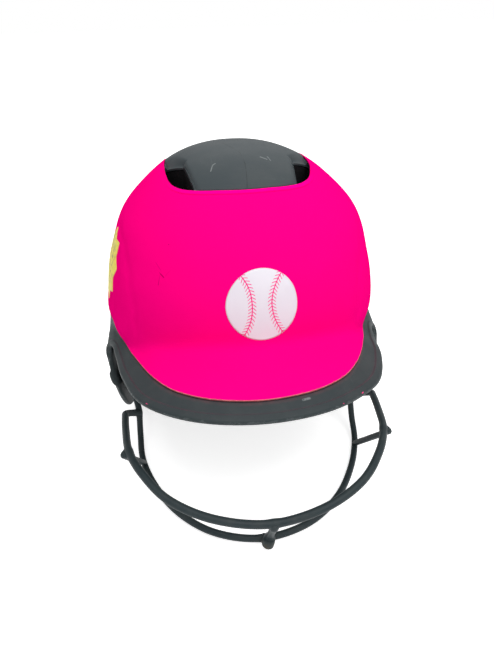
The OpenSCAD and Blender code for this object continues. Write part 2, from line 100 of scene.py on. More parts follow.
# the skin that the shell, the cover and everything bonded to them follow, in mm and degrees
skin = {
    "halfWidth": 102,
    "frontLength": 118,
    "backLength": 128,
    "beltHeight": 94,
    "domeHeight": 115.5,
    "planPower": 2.2,
    "domePower": 2.17,
    "ridge": 0.03,  # soft ridge along each side of the dome, as a share of the width
    "ridgeAngle": 52.5,
    "ridgeSpread": 9,
    "wall": 3,
    # the edge from the middle of the peak to the nape: azimuth, x, y, z, slope, two shaping lengths
    "edge": [
        [0, 0, -174.5, 102.5, 14, 16, 42], [20, 39, -168, 102.5, 14, 16, 42],
        [38, 69.5, -145.5, 99, 16, 16, 37], [52, 85.5, -110.5, 93, 20, 16, 27],
        [60, 91.5, -84, 89, 30, 17, 20], [66, 95.5, -66, 87.5, 45, 17, 14],
        [70, 99.5, -57, 83.5, 65, 16, 12], [74, 103.5, -54, 75, 80, 18, 14],
        [78, 104, -54, 60, 88, 22, 18], [82, 103, -55, 44, 92, 26, 20],
        [86, 100.5, -52, 28, 94, 30, 24], [91, 99.5, -40, 13, 95, 30, 24],
        [97, 100, -18, 3, 95, 30, 24], [103, 100, 8, 0, 95, 30, 24],
        [109, 100, 34, 9, 94, 28, 20], [116, 96, 58, 25, 92, 26, 18],
        [128, 86, 84, 38, 90, 24, 16], [145, 62, 108, 44, 88, 24, 16],
        [162, 32, 123, 45, 88, 24, 16], [180, 0, 128, 45, 88, 24, 16],
    ],
    # crown opening of the cover: azimuth and polar angle
    "crownEdge": [
        [0, 30.8], [15, 30.9], [30, 31.6], [40, 31.9], [50, 31.4], [58, 30.3], [66, 29], [74, 28.2],
        [84, 27.7], [96, 28.2], [108, 30], [120, 32.5], [135, 34.5], [150, 35], [165, 34.6], [180, 34.4],
    ],
    "crownSkew": 1.3,
    # lower edge of the cover: azimuth and how far down the skin it runs
    "hemEdge": [
        [0, 1.88], [17, 1.875], [24, 1.865], [30, 1.852], [35, 1.83], [40, 1.803], [44, 1.778], [48, 1.755],
        [52, 1.722], [55, 1.68], [58, 1.59], [60, 1.39], [62, 1.18], [64, 1.08], [67, 1.045], [75, 1.01],
        [90, 0.985], [110, 1], [130, 1.08], [155, 1.2], [180, 1.24],
    ],
}


def readTable(table, p, mirrored=False):
    # smooth values of a table at the azimuths p, mirrored past both of its ends
    t = np.array(table, float)
    p = np.asarray(p, float)
    i = np.clip(np.searchsorted(t[:, 0], p, side="right") - 1, 0, len(t) - 2)
    before, after = t[1].copy(), t[-2].copy()
    if mirrored:
        before[1], after[1] = -before[1], -after[1]
    t4 = np.vstack([before, t, after])
    u = ((p - t[i, 0]) / (t[i + 1, 0] - t[i, 0]))[..., None]
    a, b, c, d = t4[i], t4[i + 1], t4[i + 2], t4[i + 3]
    return 0.5 * (2 * b + (c - a) * u + (2 * a - 5 * b + 4 * c - d) * u ** 2
                  + (3 * b - a - 3 * c + d) * u ** 3)


def folded(p):
    q = np.abs(p)
    return np.where(q > 180, 360 - q, q)


def unit(v):
    return v / np.linalg.norm(v, axis=-1, keepdims=True)


def signedPower(x, e):
    return np.sign(x) * np.abs(x) ** e


def backOrFront(p):
    return np.where(np.cos(np.radians(p)) > 0, skin["frontLength"], skin["backLength"])


def planAt(p):
    e, a = 2 / skin["planPower"], np.radians(p)
    return skin["halfWidth"] * signedPower(np.sin(a), e), -backOrFront(p) * signedPower(np.cos(a), e)


def domeAt(p, th):
    e, a = 2 / skin["domePower"], np.radians(th)
    x, y = planAt(p)
    off = (th - skin["ridgeAngle"]) / skin["ridgeSpread"]
    swell = 1 + skin["ridge"] * np.exp(-off ** 2) * np.sin(np.radians(p)) ** 4
    r = np.abs(np.sin(a)) ** e * swell
    z = skin["beltHeight"] + skin["domeHeight"] * np.maximum(np.cos(a), 0) ** e
    return np.stack([x * r, y * r, z + 0 * r], -1)


def beltAngle(p):
    return 82 - 4 * np.cos(np.radians(2 * np.minimum(folded(p), 90)))


def skirtAt(p, t):
    q, tb = readTable(skin["edge"], folded(p), True), beltAngle(p)
    side = np.where((p > 180) | ((p < 0) & (p > -180)), -1, 1)
    p0 = domeAt(p, tb)
    d0 = unit(p0 - domeAt(p, tb - 1))
    p3 = np.stack([side * q[..., 1], q[..., 2], q[..., 3]], -1)
    x, y = planAt(p)
    out = unit(np.stack([x / skin["halfWidth"] ** 2, y / backOrFront(p) ** 2, 0 * x], -1))
    slope = np.radians(q[..., 4])[..., None]
    d1 = out * np.cos(slope) - np.array([0, 0, 1]) * np.sin(slope)
    p1, p2 = p0 + d0 * q[..., 5:6], p3 - d1 * q[..., 6:7]
    t = np.asarray(t, float)[..., None]
    return (1 - t) ** 3 * p0 + 3 * (1 - t) ** 2 * t * p1 + 3 * (1 - t) * t ** 2 * p2 + t ** 3 * p3


def skinAt(p, v):
    # v runs from 0 at the top of the dome to 1 at the brow line and 2 at the edge
    p, v = np.broadcast_arrays(np.asarray(p, float), np.asarray(v, float))
    upper = domeAt(p, beltAngle(p) * np.clip(v, 0, 1) ** 0.9)
    lower = skirtAt(p, np.clip(v - 1, 0, None))
    return np.where((v <= 1)[..., None], upper, lower)


def skinOut(p, v):
    a = np.minimum(v + 0.01, 2)
    b = np.maximum(a - 0.02, 1e-4)
    return unit(np.cross(skinAt(p, a) - skinAt(p, b), skinAt(p + 0.4, v) - skinAt(p - 0.4, v)))


def skinOff(p, v, d):
    p, v, d = np.broadcast_arrays(np.asarray(p, float), np.asarray(v, float), np.asarray(d, float))
    return skinAt(p, v) + skinOut(p, v) * d[..., None]


def vOfAngle(p, th):
    return (th / beltAngle(p)) ** (1 / 0.9)


def crownV(p):
    # the opening reaches a little further down on the wearer's left
    more = skin["crownSkew"] * np.exp(-((p - 84) / 24) ** 2)
    return vOfAngle(p, readTable(skin["crownEdge"], folded(p))[..., 1] + more)


def hemV(p):
    return readTable(skin["hemEdge"], folded(p))[..., 1]


def lengthAt(p, v):
    # mm that one unit of v covers there
    v = np.asarray(v, float)
    return np.linalg.norm(skinAt(p, v) - skinAt(p, v - 0.01), axis=-1) * 100


def columnsOf(steps):
    # azimuths all the way round, a fixed number of steps to each row of the edge table
    rows = [r[0] for r in skin["edge"]]
    half = [a + (b - a) * k / steps for a, b in zip(rows, rows[1:]) for k in range(steps)]
    return np.array([-q for q in half[:0:-1]] + half + [180.0])


# meshes
def meshPiece(name, verts, faces, smooth=True):
    # a piece from points in mm; its place is in its mesh
    data = bpy.data.meshes.new(name)
    data.from_pydata([tuple(q) for q in np.asarray(verts, float) * mm], [], faces)
    data.validate()
    if smooth:
        data.polygons.foreach_set("use_smooth", [True] * len(data.polygons))
    piece = bpy.data.objects.new(name, data)
    bpy.context.collection.objects.link(piece)
    return piece


def ringMesh(name, grid, poles=None):
    # grid[column][row] goes round on itself; with poles the rows run from one pole to the other
    nc, nr = grid.shape[:2]
    verts = list(grid.reshape(-1, 3))
    faces = []
    last = nr - 1 if poles is not None else nr
    for c in range(nc):
        a, b = c * nr, (c + 1) % nc * nr
        faces += [(a + r, a + (r + 1) % nr, b + (r + 1) % nr, b + r) for r in range(last)]
        if poles is not None:
            faces += [(nc * nr, a, b), (nc * nr + 1, b + nr - 1, a + nr - 1)]
    if poles is not None:
        verts += [poles[0], poles[1]]
    return meshPiece(name, verts, faces)


def sweepTube(path, radii, sides=20, first=(0, 0, 1), closed=False):
    # points and faces of a round tube along a path in mm; its ends close in a point
    path, n = np.asarray(path, float), len(path)
    radii = np.broadcast_to(np.asarray(radii, float), (n,))
    if closed:
        ahead = unit(np.roll(path, -1, 0) - np.roll(path, 1, 0))
    else:
        ahead = unit(np.vstack([path[1] - path[0], path[2:] - path[:-2], path[-1] - path[-2]]))
    rims, side = [], np.asarray(first, float)
    for i in range(n):
        side = side - ahead[i] * (side @ ahead[i])
        side = side / np.linalg.norm(side)
        rims.append((side, np.cross(ahead[i], side)))
    if closed:
        # the twist gathered over one turn is spread over it
        last = rims[-1][0] - ahead[0] * (rims[-1][0] @ ahead[0])
        twist = math.atan2(last @ rims[0][1], last @ rims[0][0])
    a = np.arange(sides) * 2 * math.pi / sides
    verts = []
    for i, (u, w) in enumerate(rims):
        b = a - (twist * i / n if closed else 0)
        verts += list(path[i] + radii[i] * (np.cos(b)[:, None] * u + np.sin(b)[:, None] * w))
    hoops = n if closed else n - 1
    faces = [(i * sides + k, i * sides + (k + 1) % sides,
              (i + 1) % n * sides + (k + 1) % sides, (i + 1) % n * sides + k)
             for i in range(hoops) for k in range(sides)]
    if not closed:
        verts += [path[0], path[-1]]
        low, high, top = n * sides, n * sides + 1, (n - 1) * sides
        faces += [(low, (k + 1) % sides, k) for k in range(sides)]
        faces += [(high, top + k, top + (k + 1) % sides) for k in range(sides)]
    return verts, faces


def roundEnds(path, radius, steps=5, near=True, far=True):
    # a path and its radii with round ends added
    path = np.asarray(path, float)
    radii = np.broadcast_to(np.asarray(radius, float), (len(path),)).copy()
    turn = np.linspace(0, math.pi / 2, steps + 1)[1:]
    shrink = np.maximum(np.cos(turn), 0.02)
    if far:
        d = unit(path[-1] - path[-2])
        path = np.vstack([path, path[-1] + d * (np.sin(turn) * radii[-1])[:, None]])
        radii = np.concatenate([radii, radii[-1] * shrink])
    if near:
        d = unit(path[0] - path[1])
        path = np.vstack([(path[0] + d * (np.sin(turn) * radii[0])[:, None])[::-1], path])
        radii = np.concatenate([(radii[0] * shrink)[::-1], radii])
    return path, radii


def joinShapes(shapes):
    # one list of points and faces from several
    verts, faces = [], []
    for v, f in shapes:
        faces += [tuple(k + len(verts) for k in q) for q in f]
        verts += [tuple(q) for q in v]
    return verts, faces


def setAttribute(piece, name, values):
    values = np.asarray(values, np.float32)
    if values.ndim == 1:
        layer = piece.data.attributes.new(name, "FLOAT", "POINT")
        layer.data.foreach_set("value", values)
    else:
        layer = piece.data.attributes.new(name, "FLOAT_VECTOR", "POINT")
        layer.data.foreach_set("vector", values.ravel())


def pointsOf(piece):
    # the mesh's points in mm
    q = np.empty(len(piece.data.vertices) * 3)
    piece.data.vertices.foreach_get("co", q)
    return q.reshape(-1, 3) / mm


def putPoints(piece, points):
    piece.data.vertices.foreach_set("co", (np.asarray(points) * mm).ravel())
    piece.data.update()


def smoothStep(a, b, x):
    t = np.clip((x - a) / (b - a), 0, 1)
    return t * t * (3 - 2 * t)


def bakeModifiers(piece):
    # the evaluated mesh takes the place of the piece's own
    graph = bpy.context.evaluated_depsgraph_get()
    data = bpy.data.meshes.new_from_object(piece.evaluated_get(graph))
    piece.modifiers.clear()
    old = piece.data
    piece.data = data
    bpy.data.meshes.remove(old)


def cutAway(piece, cutters, sharpAngle=40):
    # exact holes; the cutters go
    for cutter in cutters:
        cut = piece.modifiers.new("hole", "BOOLEAN")
        cut.operation = "DIFFERENCE"
        cut.solver = "EXACT"
        cut.object = cutter
    bakeModifiers(piece)
    for cutter in cutters:
        bpy.data.objects.remove(cutter)
    piece.data.set_sharp_from_angle(angle=math.radians(sharpAngle))


def prism(name, outline, low, high, axis):
    # a straight bar on an outline, from low to high along the axis
    n = len(outline)
    verts = []
    for level in (low, high):
        for a, b in outline:
            verts.append({"z": (a, b, level), "x": (level, a, b)}[axis])
    faces = [(i, (i + 1) % n, n + (i + 1) % n, n + i) for i in range(n)]
    faces += [tuple(range(n))[::-1], tuple(range(n, 2 * n))]
    piece = meshPiece(name, verts, faces, smooth=False)
    mesh = bmesh.new()
    mesh.from_mesh(piece.data)
    bmesh.ops.recalc_face_normals(mesh, faces=mesh.faces)
    mesh.to_mesh(piece.data)
    mesh.free()
    return piece


def softCorners(points, radius, steps=5):
    # an outline with each corner rounded
    q = np.array(points, float)
    out = []
    for i in range(len(q)):
        a, b, c = q[i - 1], q[i], q[(i + 1) % len(q)]
        u, w = unit(a - b), unit(c - b)
        reach = min(radius, np.linalg.norm(a - b) * 0.45, np.linalg.norm(c - b) * 0.45)
        for t in np.linspace(0, 1, steps):
            out.append((1 - t) ** 2 * (b + u * reach) + 2 * t * (1 - t) * b + t * t * (b + w * reach))
    return out


# shader helpers: a socket takes a link or a fixed value
def put(tree, socket, value):
    if isinstance(value, bpy.types.NodeSocket):
        tree.links.new(value, socket)
    else:
        socket.default_value = value


def calc(tree, operation, *values, clamp=False):
    node = tree.nodes.new("ShaderNodeMath")
    node.operation = operation
    node.use_clamp = clamp
    for socket, value in zip(node.inputs, values):
        put(tree, socket, value)
    return node.outputs[0]


def vectorCalc(tree, operation, *values, scale=None):
    node = tree.nodes.new("ShaderNodeVectorMath")
    node.operation = operation
    for socket, value in zip(node.inputs, values):
        put(tree, socket, value)
    if scale is not None:
        put(tree, node.inputs["Scale"], scale)
    return node.outputs["Value" if operation in ("LENGTH", "DOT_PRODUCT", "DISTANCE") else "Vector"]


def step(tree, value, low, high, toLow=0.0, toHigh=1.0):
    node = tree.nodes.new("ShaderNodeMapRange")
    node.interpolation_type = "SMOOTHSTEP"
    ends = (("Value", value), ("From Min", low), ("From Max", high), ("To Min", toLow), ("To Max", toHigh))
    for name, v in ends:
        put(tree, node.inputs[name], v)
    return node.outputs["Result"]


def noise(tree, vector, scale, detail=2.0, roughness=0.5):
    node = tree.nodes.new("ShaderNodeTexNoise")
    for name, v in (("Vector", vector), ("Scale", scale), ("Detail", detail), ("Roughness", roughness)):
        put(tree, node.inputs[name], v)
    return node.outputs["Fac"]


def stretch(tree, vector, turn, scale):
    node = tree.nodes.new("ShaderNodeMapping")
    put(tree, node.inputs["Vector"], vector)
    node.inputs["Rotation"].default_value = [math.radians(a) for a in turn]
    node.inputs["Scale"].default_value = scale
    return node.outputs["Vector"]


def mixColour(tree, amount, a, b):
    node = tree.nodes.new("ShaderNodeMix")
    node.data_type = "RGBA"
    put(tree, node.inputs[0], amount)
    put(tree, node.inputs[6], a)
    put(tree, node.inputs[7], b)
    return node.outputs[2]


def newGroup(name, inputs, outputs):
    # inputs: name -> (kind, value); outputs: name -> kind
    tree = bpy.data.node_groups.new(name, "ShaderNodeTree")
    for label, (kind, value) in inputs.items():
        socket = tree.interface.new_socket(name=label, in_out="INPUT", socket_type="NodeSocket" + kind)
        socket.default_value = value
    for label, kind in outputs.items():
        tree.interface.new_socket(name=label, in_out="OUTPUT", socket_type="NodeSocket" + kind)
    return tree, tree.nodes.new("NodeGroupInput").outputs, tree.nodes.new("NodeGroupOutput").inputs


def useGroup(tree, group, **values):
    node = tree.nodes.new("ShaderNodeGroup")
    node.node_tree = group
    for label, value in values.items():
        put(tree, node.inputs[label], value)
    return node.outputs


def mouldGrainGroup():
    # the fine grain and slow mottling of a moulded plastic
    tree, a, out = newGroup("mouldGrain", {"Vector": ("Vector", (0, 0, 0)), "Grain": ("Float", 2200.0),
                                           "Mottle": ("Float", 60.0)}, {"Height": "Float", "Shade": "Float"})
    cells = tree.nodes.new("ShaderNodeTexVoronoi")
    put(tree, cells.inputs["Vector"], a["Vector"])
    put(tree, cells.inputs["Scale"], a["Grain"])
    fine = noise(tree, a["Vector"], a["Grain"], 3.0, 0.6)
    put(tree, out["Height"], calc(tree, "ADD", calc(tree, "MULTIPLY", cells.outputs["Distance"], 0.6), fine))
    put(tree, out["Shade"], noise(tree, a["Vector"], a["Mottle"], 4.0, 0.62))
    return tree


def hairScratchGroup():
    # fine straight scratches in two directions, gathered in patches
    tree, a, out = newGroup("hairScratches", {"Vector": ("Vector", (0, 0, 0)), "Amount": ("Float", 0.5)},
                            {"Mask": "Float"})
    lines = []
    for turn, scale in (((20, 10, 35), (900, 18, 18)), ((-15, 30, -50), (18, 800, 16))):
        strand = noise(tree, stretch(tree, a["Vector"], turn, scale), 1.0, 1.0, 0.5)
        lines.append(step(tree, calc(tree, "ABSOLUTE", calc(tree, "SUBTRACT", strand, 0.5)), 0.012, 0.0))
    patch = step(tree, noise(tree, a["Vector"], 45.0, 2.0), calc(tree, "SUBTRACT", 0.72, calc(
        tree, "MULTIPLY", a["Amount"], 0.25)), 0.8)
    either = calc(tree, "MAXIMUM", lines[0], lines[1])
    put(tree, out["Mask"], calc(tree, "MULTIPLY", either, patch, clamp=True))
    return tree


def strokeGroup():
    # one rubbed or scored stroke between two places, broken up along its length
    tree, a, out = newGroup("stroke", {"Vector": ("Vector", (0, 0, 0)), "From": ("Vector", (0, 0, 0)),
                                       "To": ("Vector", (0, 0, 1)), "Width": ("Float", 0.0006),
                                       "Broken": ("Float", 0.5)}, {"Mask": "Float"})
    run = vectorCalc(tree, "SUBTRACT", a["To"], a["From"])
    here = vectorCalc(tree, "SUBTRACT", a["Vector"], a["From"])
    along = calc(tree, "DIVIDE", vectorCalc(tree, "DOT_PRODUCT", here, run),
                 vectorCalc(tree, "DOT_PRODUCT", run, run), clamp=True)
    nearest = vectorCalc(tree, "SCALE", run, scale=along)
    gap = vectorCalc(tree, "LENGTH", vectorCalc(tree, "SUBTRACT", here, nearest))
    line = step(tree, gap, a["Width"], calc(tree, "MULTIPLY", a["Width"], 0.35))
    grit = step(tree, noise(tree, a["Vector"], 700.0, 3.0, 0.7), calc(tree, "MULTIPLY", a["Broken"], 0.55),
                calc(tree, "ADD", calc(tree, "MULTIPLY", a["Broken"], 0.55), 0.12))
    put(tree, out["Mask"], calc(tree, "MULTIPLY", line, grit, clamp=True))
    return tree


def edgeWearGroup():
    # wear that creeps in from an edge, by the distance to it in mm
    tree, a, out = newGroup("edgeWear", {"Vector": ("Vector", (0, 0, 0)), "Distance": ("Float", 0.0),
                                         "Reach": ("Float", 1.5), "Scale": ("Float", 260.0)},
                            {"Mask": "Float"})
    grit = noise(tree, a["Vector"], a["Scale"], 5.0, 0.7)
    reach = calc(tree, "MULTIPLY", a["Reach"], step(tree, grit, 0.44, 0.7))
    put(tree, out["Mask"], step(tree, a["Distance"], calc(tree, "ADD", reach, 0.02), calc(
        tree, "MULTIPLY", reach, 0.55)))
    return tree


def dustGroup():
    # pale dust in soft patches, more of it on what faces up
    tree, a, out = newGroup("dust", {"Vector": ("Vector", (0, 0, 0)), "Scale": ("Float", 30.0),
                                     "Amount": ("Float", 0.3)}, {"Mask": "Float"})
    soft = noise(tree, a["Vector"], a["Scale"], 6.0, 0.65)
    face = tree.nodes.new("ShaderNodeSeparateXYZ")
    put(tree, face.inputs[0], tree.nodes.new("ShaderNodeNewGeometry").outputs["Normal"])
    up = step(tree, face.outputs["Z"], -0.2, 0.9, 0.3, 1.0)
    cloud = step(tree, soft, 0.42, 0.75)
    put(tree, out["Mask"], calc(tree, "MULTIPLY", calc(tree, "MULTIPLY", cloud, up), a["Amount"], clamp=True))
    return tree


def clothWeaveGroup():
    # a plain weave over the two first numbers of the vector, in mm
    tree, a, out = newGroup("clothWeave", {"Vector": ("Vector", (0, 0, 0)), "Pitch": ("Float", 0.9)},
                            {"Height": "Float", "Shade": "Float"})
    place = vectorCalc(tree, "SCALE", a["Vector"], scale=calc(tree, "DIVIDE", math.pi, a["Pitch"]))
    part = tree.nodes.new("ShaderNodeSeparateXYZ")
    put(tree, part.inputs[0], place)
    u, w = calc(tree, "SINE", part.outputs["X"]), calc(tree, "SINE", part.outputs["Y"])
    over = calc(tree, "ABSOLUTE", calc(tree, "SINE", calc(tree, "MULTIPLY", part.outputs["X"], 0.5)))
    under = calc(tree, "ABSOLUTE", calc(tree, "SINE", calc(tree, "MULTIPLY", part.outputs["Y"], 0.5)))
    warp = calc(tree, "MULTIPLY", over, step(tree, calc(tree, "MULTIPLY", u, w), -0.15, 0.15))
    weft = calc(tree, "MULTIPLY", under, step(tree, calc(tree, "MULTIPLY", u, w), 0.15, -0.15))
    height = calc(tree, "ADD", warp, weft)
    put(tree, out["Height"], height)
    fuzz = noise(tree, a["Vector"], 2.4, 3.0, 0.7)
    put(tree, out["Shade"], calc(tree, "ADD", calc(tree, "MULTIPLY", height, 0.6), calc(
        tree, "MULTIPLY", fuzz, 0.5), clamp=True))
    return tree


mouldGrain, hairScratches, stroke = mouldGrainGroup(), hairScratchGroup(), strokeGroup()
edgeWear, dust, clothWeave = edgeWearGroup(), dustGroup(), clothWeaveGroup()
print("finish groups built")


def newMaterial(name, roughness, specular):
    m = bpy.data.materials.new(name)
    m.use_nodes = True
    shader = m.node_tree.nodes["Principled BSDF"]
    shader.inputs["Roughness"].default_value = roughness
    shader.inputs["Specular IOR Level"].default_value = specular
    here = m.node_tree.nodes.new("ShaderNodeTexCoord").outputs["Object"]
    return m, m.node_tree, shader, here


def attribute(tree, name):
    node = tree.nodes.new("ShaderNodeAttribute")
    node.attribute_name = name
    return node.outputs


def addBump(tree, shader, height, distance, strength=1.0):
    bump = tree.nodes.new("ShaderNodeBump")
    put(tree, bump.inputs["Height"], height)
    bump.inputs["Distance"].default_value = distance
    bump.inputs["Strength"].default_value = strength
    tree.links.new(bump.outputs["Normal"], shader.inputs["Normal"])


def strokes(tree, here, marks, broken=0.5):
    # the strongest of several strokes, each from, to and width in mm
    total = 0.0
    for a, b, width in marks:
        mask = useGroup(tree, stroke, Vector=here, From=[q * mm for q in a], To=[q * mm for q in b],
                        Width=width * mm, Broken=broken)["Mask"]
        total = calc(tree, "MAXIMUM", total, mask)
    return total


def rgb(*colour):
    # a linear colour from the red, green and blue of the screen, 0 to 255
    return [c / 255 / 12.92 if c <= 10 else ((c / 255 + 0.055) / 1.055) ** 2.4 for c in colour] + [1]


# hard shell: dome, peak, ear flaps and nape in one moulding
shell = {
    "columnSteps": 9,
    "crownRows": 46,
    "skirtRows": 60,
    "innerRows": 40,
    "crownRise": 1.55,  # how far the crown panel stands up to meet the cover
    "bead": 0.8,  # how far the rolled edge stands proud
    "beadWidth": 5.6,
    "beadSlope": 1.1,
    "edgeBand": 12,  # width of the finely stepped band along the edge
    "edgeRound": 12,  # steps round the edge
    "earRadius": 17,
    "earStretch": 8,
    "earPlace": (6, 43),  # y and z of the lower curve's middle
    # the vents: a hole at each front corner of the crown panel, and the scoops that lead into it
    "vents": {
        1: [(53.0, -4.5), (39.0, -19.5), (35.4, -56.6), (38.0, -58.6), (42.3, -54.8), (49.0, -45.0),
            (52.4, -36.8), (53.8, -26)],
        -1: [(51.0, -2.5), (36.8, -20.5), (30.4, -56.6), (33.5, -58.8), (39.4, -55), (47.5, -44.6),
             (50.6, -36.5), (51.8, -26)],
    },
    "ventCorner": 2.2,
    "rearScoop": (3.4, 4, 13),  # depth, and its length toward the middle and toward the rim
    "sideScoop": (1.8, 2.6),
    "corner": 1.1,
    "grey": rgb(58, 65, 68),
    # painted shade: a darker copy of the same grey for the peak and the flaps
    "shadedLowerGrey": rgb(50, 57, 59),
    "chips": [((58.2, -155.4, 101.5), (57.4, -156.2, 101.6), 0.4),
              ((43.8, -165.0, 102.6), (44.4, -164.7, 102.5), 0.3),
              ((-66.2, -147.5, 100.4), (-63.6, -149.9, 100.5), 0.42)],
    "paleMarks": [((22.0, -161.8, 105.4), (25.5, -160.9, 105.2), 1.1)],
    "crownScratches": [((-16.9, -38.0, 205.3), (-18.6, -44.5, 203.2), 0.55),
                       ((-15.2, -36.4, 205.9), (-16.9, -38.0, 205.3), 0.7),
                       ((15.6, -30.2, 207.2), (19.5, -32.8, 206.2), 0.8),
                       ((20.5, -28.5, 207.0), (22.0, -34.0, 205.3), 0.5)],
    # a hairline of the mould over the crown panel
    "mouldLine": [(-12.0, 14.0, 210.5), (-4.0, -8.0, 211.0), (2.4, -24.0, 209.2), (4.2, -40.0, 205.8),
                  (3.9, -53.0, 201.2), (3.0, -63.0, 196.5)],
}


def perpendicular(q, a, b):
    # distance of points to the line from a to b, and how far along it they lie; q is outside on its right
    a, b = np.array(a, float), np.array(b, float)
    d = (b - a) / np.linalg.norm(b - a)
    r = q - a
    return r[..., 0] * d[1] - r[..., 1] * d[0], (r @ d) / np.linalg.norm(b - a)


def scoopDepth(s, x, y):
    # how far the crown panel dips where it leads into a vent
    return np.where(x > 0, sideScoopDepth(s, s["vents"][1], x, y), sideScoopDepth(s, s["vents"][-1], -x, y))


def sideScoopDepth(s, vent, x, y):
    q = np.stack([x, y], -1)
    rear, middle, front = vent[:3]
    deep, inner, outer = s["rearScoop"]
    d, t = perpendicular(q, middle, rear)
    reach = inner + (outer - inner) * np.clip(t, 0, 1.1)
    behind = deep * (1 - smoothStep(0, 1, np.clip(-d, 0, None) / reach)) * smoothStep(-0.12, 0.02, t)
    deep, reach = s["sideScoop"]
    d, t = perpendicular(q, front, middle)
    beside = deep * (1 - smoothStep(0, 1, np.clip(-d, 0, None) / reach)) * smoothStep(-0.08, 0.04, t)
    beside = beside * smoothStep(1.16, 1.0, t)
    behind = np.where(q[..., 1] < middle[1] - 4, 0, behind)
    return np.maximum(np.where(d < 0, beside, 0), np.where(q[..., 1] >= middle[1] - 4, behind, 0))


def shellGrid(s):
    p = columnsOf(s["columnSteps"])[:, None]
    top, wall = 0.006, skin["wall"]
    e = crownV(p)
    crownLength, edgeLength = lengthAt(p, e), lengthAt(p, 2.0)
    # the crown panel, the step round it, and the first row under the cover
    near = np.array([2.4, 2.0, 1.6, 1.3, 1.05, 0.85, 0.7, 0.6, 0.54, 0.5, 0.47, 0.3])
    fall = np.array([1, 1, 1, 0.99, 0.96, 0.9, 0.8, 0.65, 0.45, 0.22, 0, 0])
    vCrown = top + (e - 3.0 / crownLength - top) * np.linspace(0, 1, s["crownRows"])[None, :]
    vStep = e - near[None, :] / crownLength
    vEdgeTop = 2 - s["edgeBand"] / edgeLength
    vMain = e + (vEdgeTop - e) * np.linspace(0, 1, s["skirtRows"] + 1)[None, :]
    # the rolled edge
    radius = (wall + s["bead"]) / 2
    rows = np.array([10.5, 9, 8, 7.2, 6.6, 6.2, 5.9, 5.6, 5.3, 5, 4.7, 4.3, 3.6, 2.8])
    turn = np.linspace(0, math.pi, s["edgeRound"] + 1)
    inner = np.linspace(3, s["edgeBand"], 4)
    distance = np.concatenate([rows, radius * (1 - np.sin(turn)), inner])
    half = s["beadSlope"] / 2
    lift = np.concatenate([
        s["bead"] * (1 - smoothStep(s["beadWidth"] - half, s["beadWidth"] + half, rows)),
        (s["bead"] - wall) / 2 + radius * np.cos(turn),
        np.full(len(inner), -wall)])
    vEdge = 2 - distance[None, :] / edgeLength
    vInner = vEdge[:, -1:] + (top - vEdge[:, -1:]) * np.linspace(0, 1, s["innerRows"])[None, 1:]
    v = np.concatenate([vCrown, vStep, vMain, vEdge, vInner], 1)
    d = np.concatenate([
        np.full(vCrown.shape[1], s["crownRise"]), s["crownRise"] * fall, np.zeros(vMain.shape[1]), lift,
        np.full(vInner.shape[1], -wall)])
    d = np.broadcast_to(d[None, :], v.shape).copy()
    panel = vCrown.shape[1] + vStep.shape[1]
    place = skinAt(p, v[:, :panel])
    dip = scoopDepth(s, place[..., 0], place[..., 1])
    d[:, :panel] = np.minimum(d[:, :panel], np.maximum(s["crownRise"] - dip, 0.3 - skin["wall"]))
    return p, v, d


def stadium(centre, radius, reach, steps=20):
    # a slot with round ends, upright, as y and z
    y, z = centre
    low = [(y + radius * math.cos(a), z + radius * math.sin(a))
           for a in np.linspace(math.pi, 2 * math.pi, steps)]
    high = [(y + radius * math.cos(a), z + reach + radius * math.sin(a))
            for a in np.linspace(0, math.pi, steps)]
    return low + high


def makeShell(s):
    p, v, d = shellGrid(s)
    grid = skinOff(p, v, d)
    # the left corner of the peak is drawn out a little
    band = 1 - smoothStep(1, 9, (2 - v) * lengthAt(p, 2.0))
    ahead = unit(skinAt(p, 2.0 + 0 * v) - skinAt(p, 1.97 + 0 * v))
    drawn = s["corner"] * band * smoothStep(30, 42, p) * (1 - smoothStep(46, 58, p))
    grid = grid + ahead * drawn[..., None]
    topPoint = skinAt(0.0, 1e-4) + [0, 0, s["crownRise"]]
    piece = ringMesh("shell_moulding", grid, [topPoint, topPoint - [0, 0, skin["wall"] + s["crownRise"]]])
    # what each point of the uncut shell knows: mm to its edge, and mm below the cover's hem
    toEdge = (2 - v) * lengthAt(p, 2.0)
    belowHem = (v - hemV(p)) * lengthAt(p, np.maximum(v, 0.02))
    inside = (np.arange(v.shape[1])[None, :] >= v.shape[1] - s["innerRows"]) + 0 * v
    facts = np.stack([toEdge, belowHem, inside], -1).reshape(-1, 3)
    tree = KDTree(len(facts))
    for i, q in enumerate(grid.reshape(-1, 3)):
        tree.insert(q, i)
    tree.balance()
    ear = stadium(s["earPlace"], s["earRadius"], s["earStretch"])
    holes = [prism("earHole", ear, low, high, "x") for low, high in ((60, 120), (-120, -60))]
    for side in (1, -1):
        outline = [(side * x, y) for x, y in softCorners(s["vents"][side], s["ventCorner"])]
        holes.append(prism("ventHole", outline, 150, 220, "z"))
    cutAway(piece, holes)
    nearest = np.array([facts[tree.find(q)[1]] for q in pointsOf(piece)])
    setAttribute(piece, "toEdge", nearest[:, 0])
    setAttribute(piece, "belowHem", nearest[:, 1])
    setAttribute(piece, "inside", nearest[:, 2])
    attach(piece, "root")
    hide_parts("base_shell")
    return piece


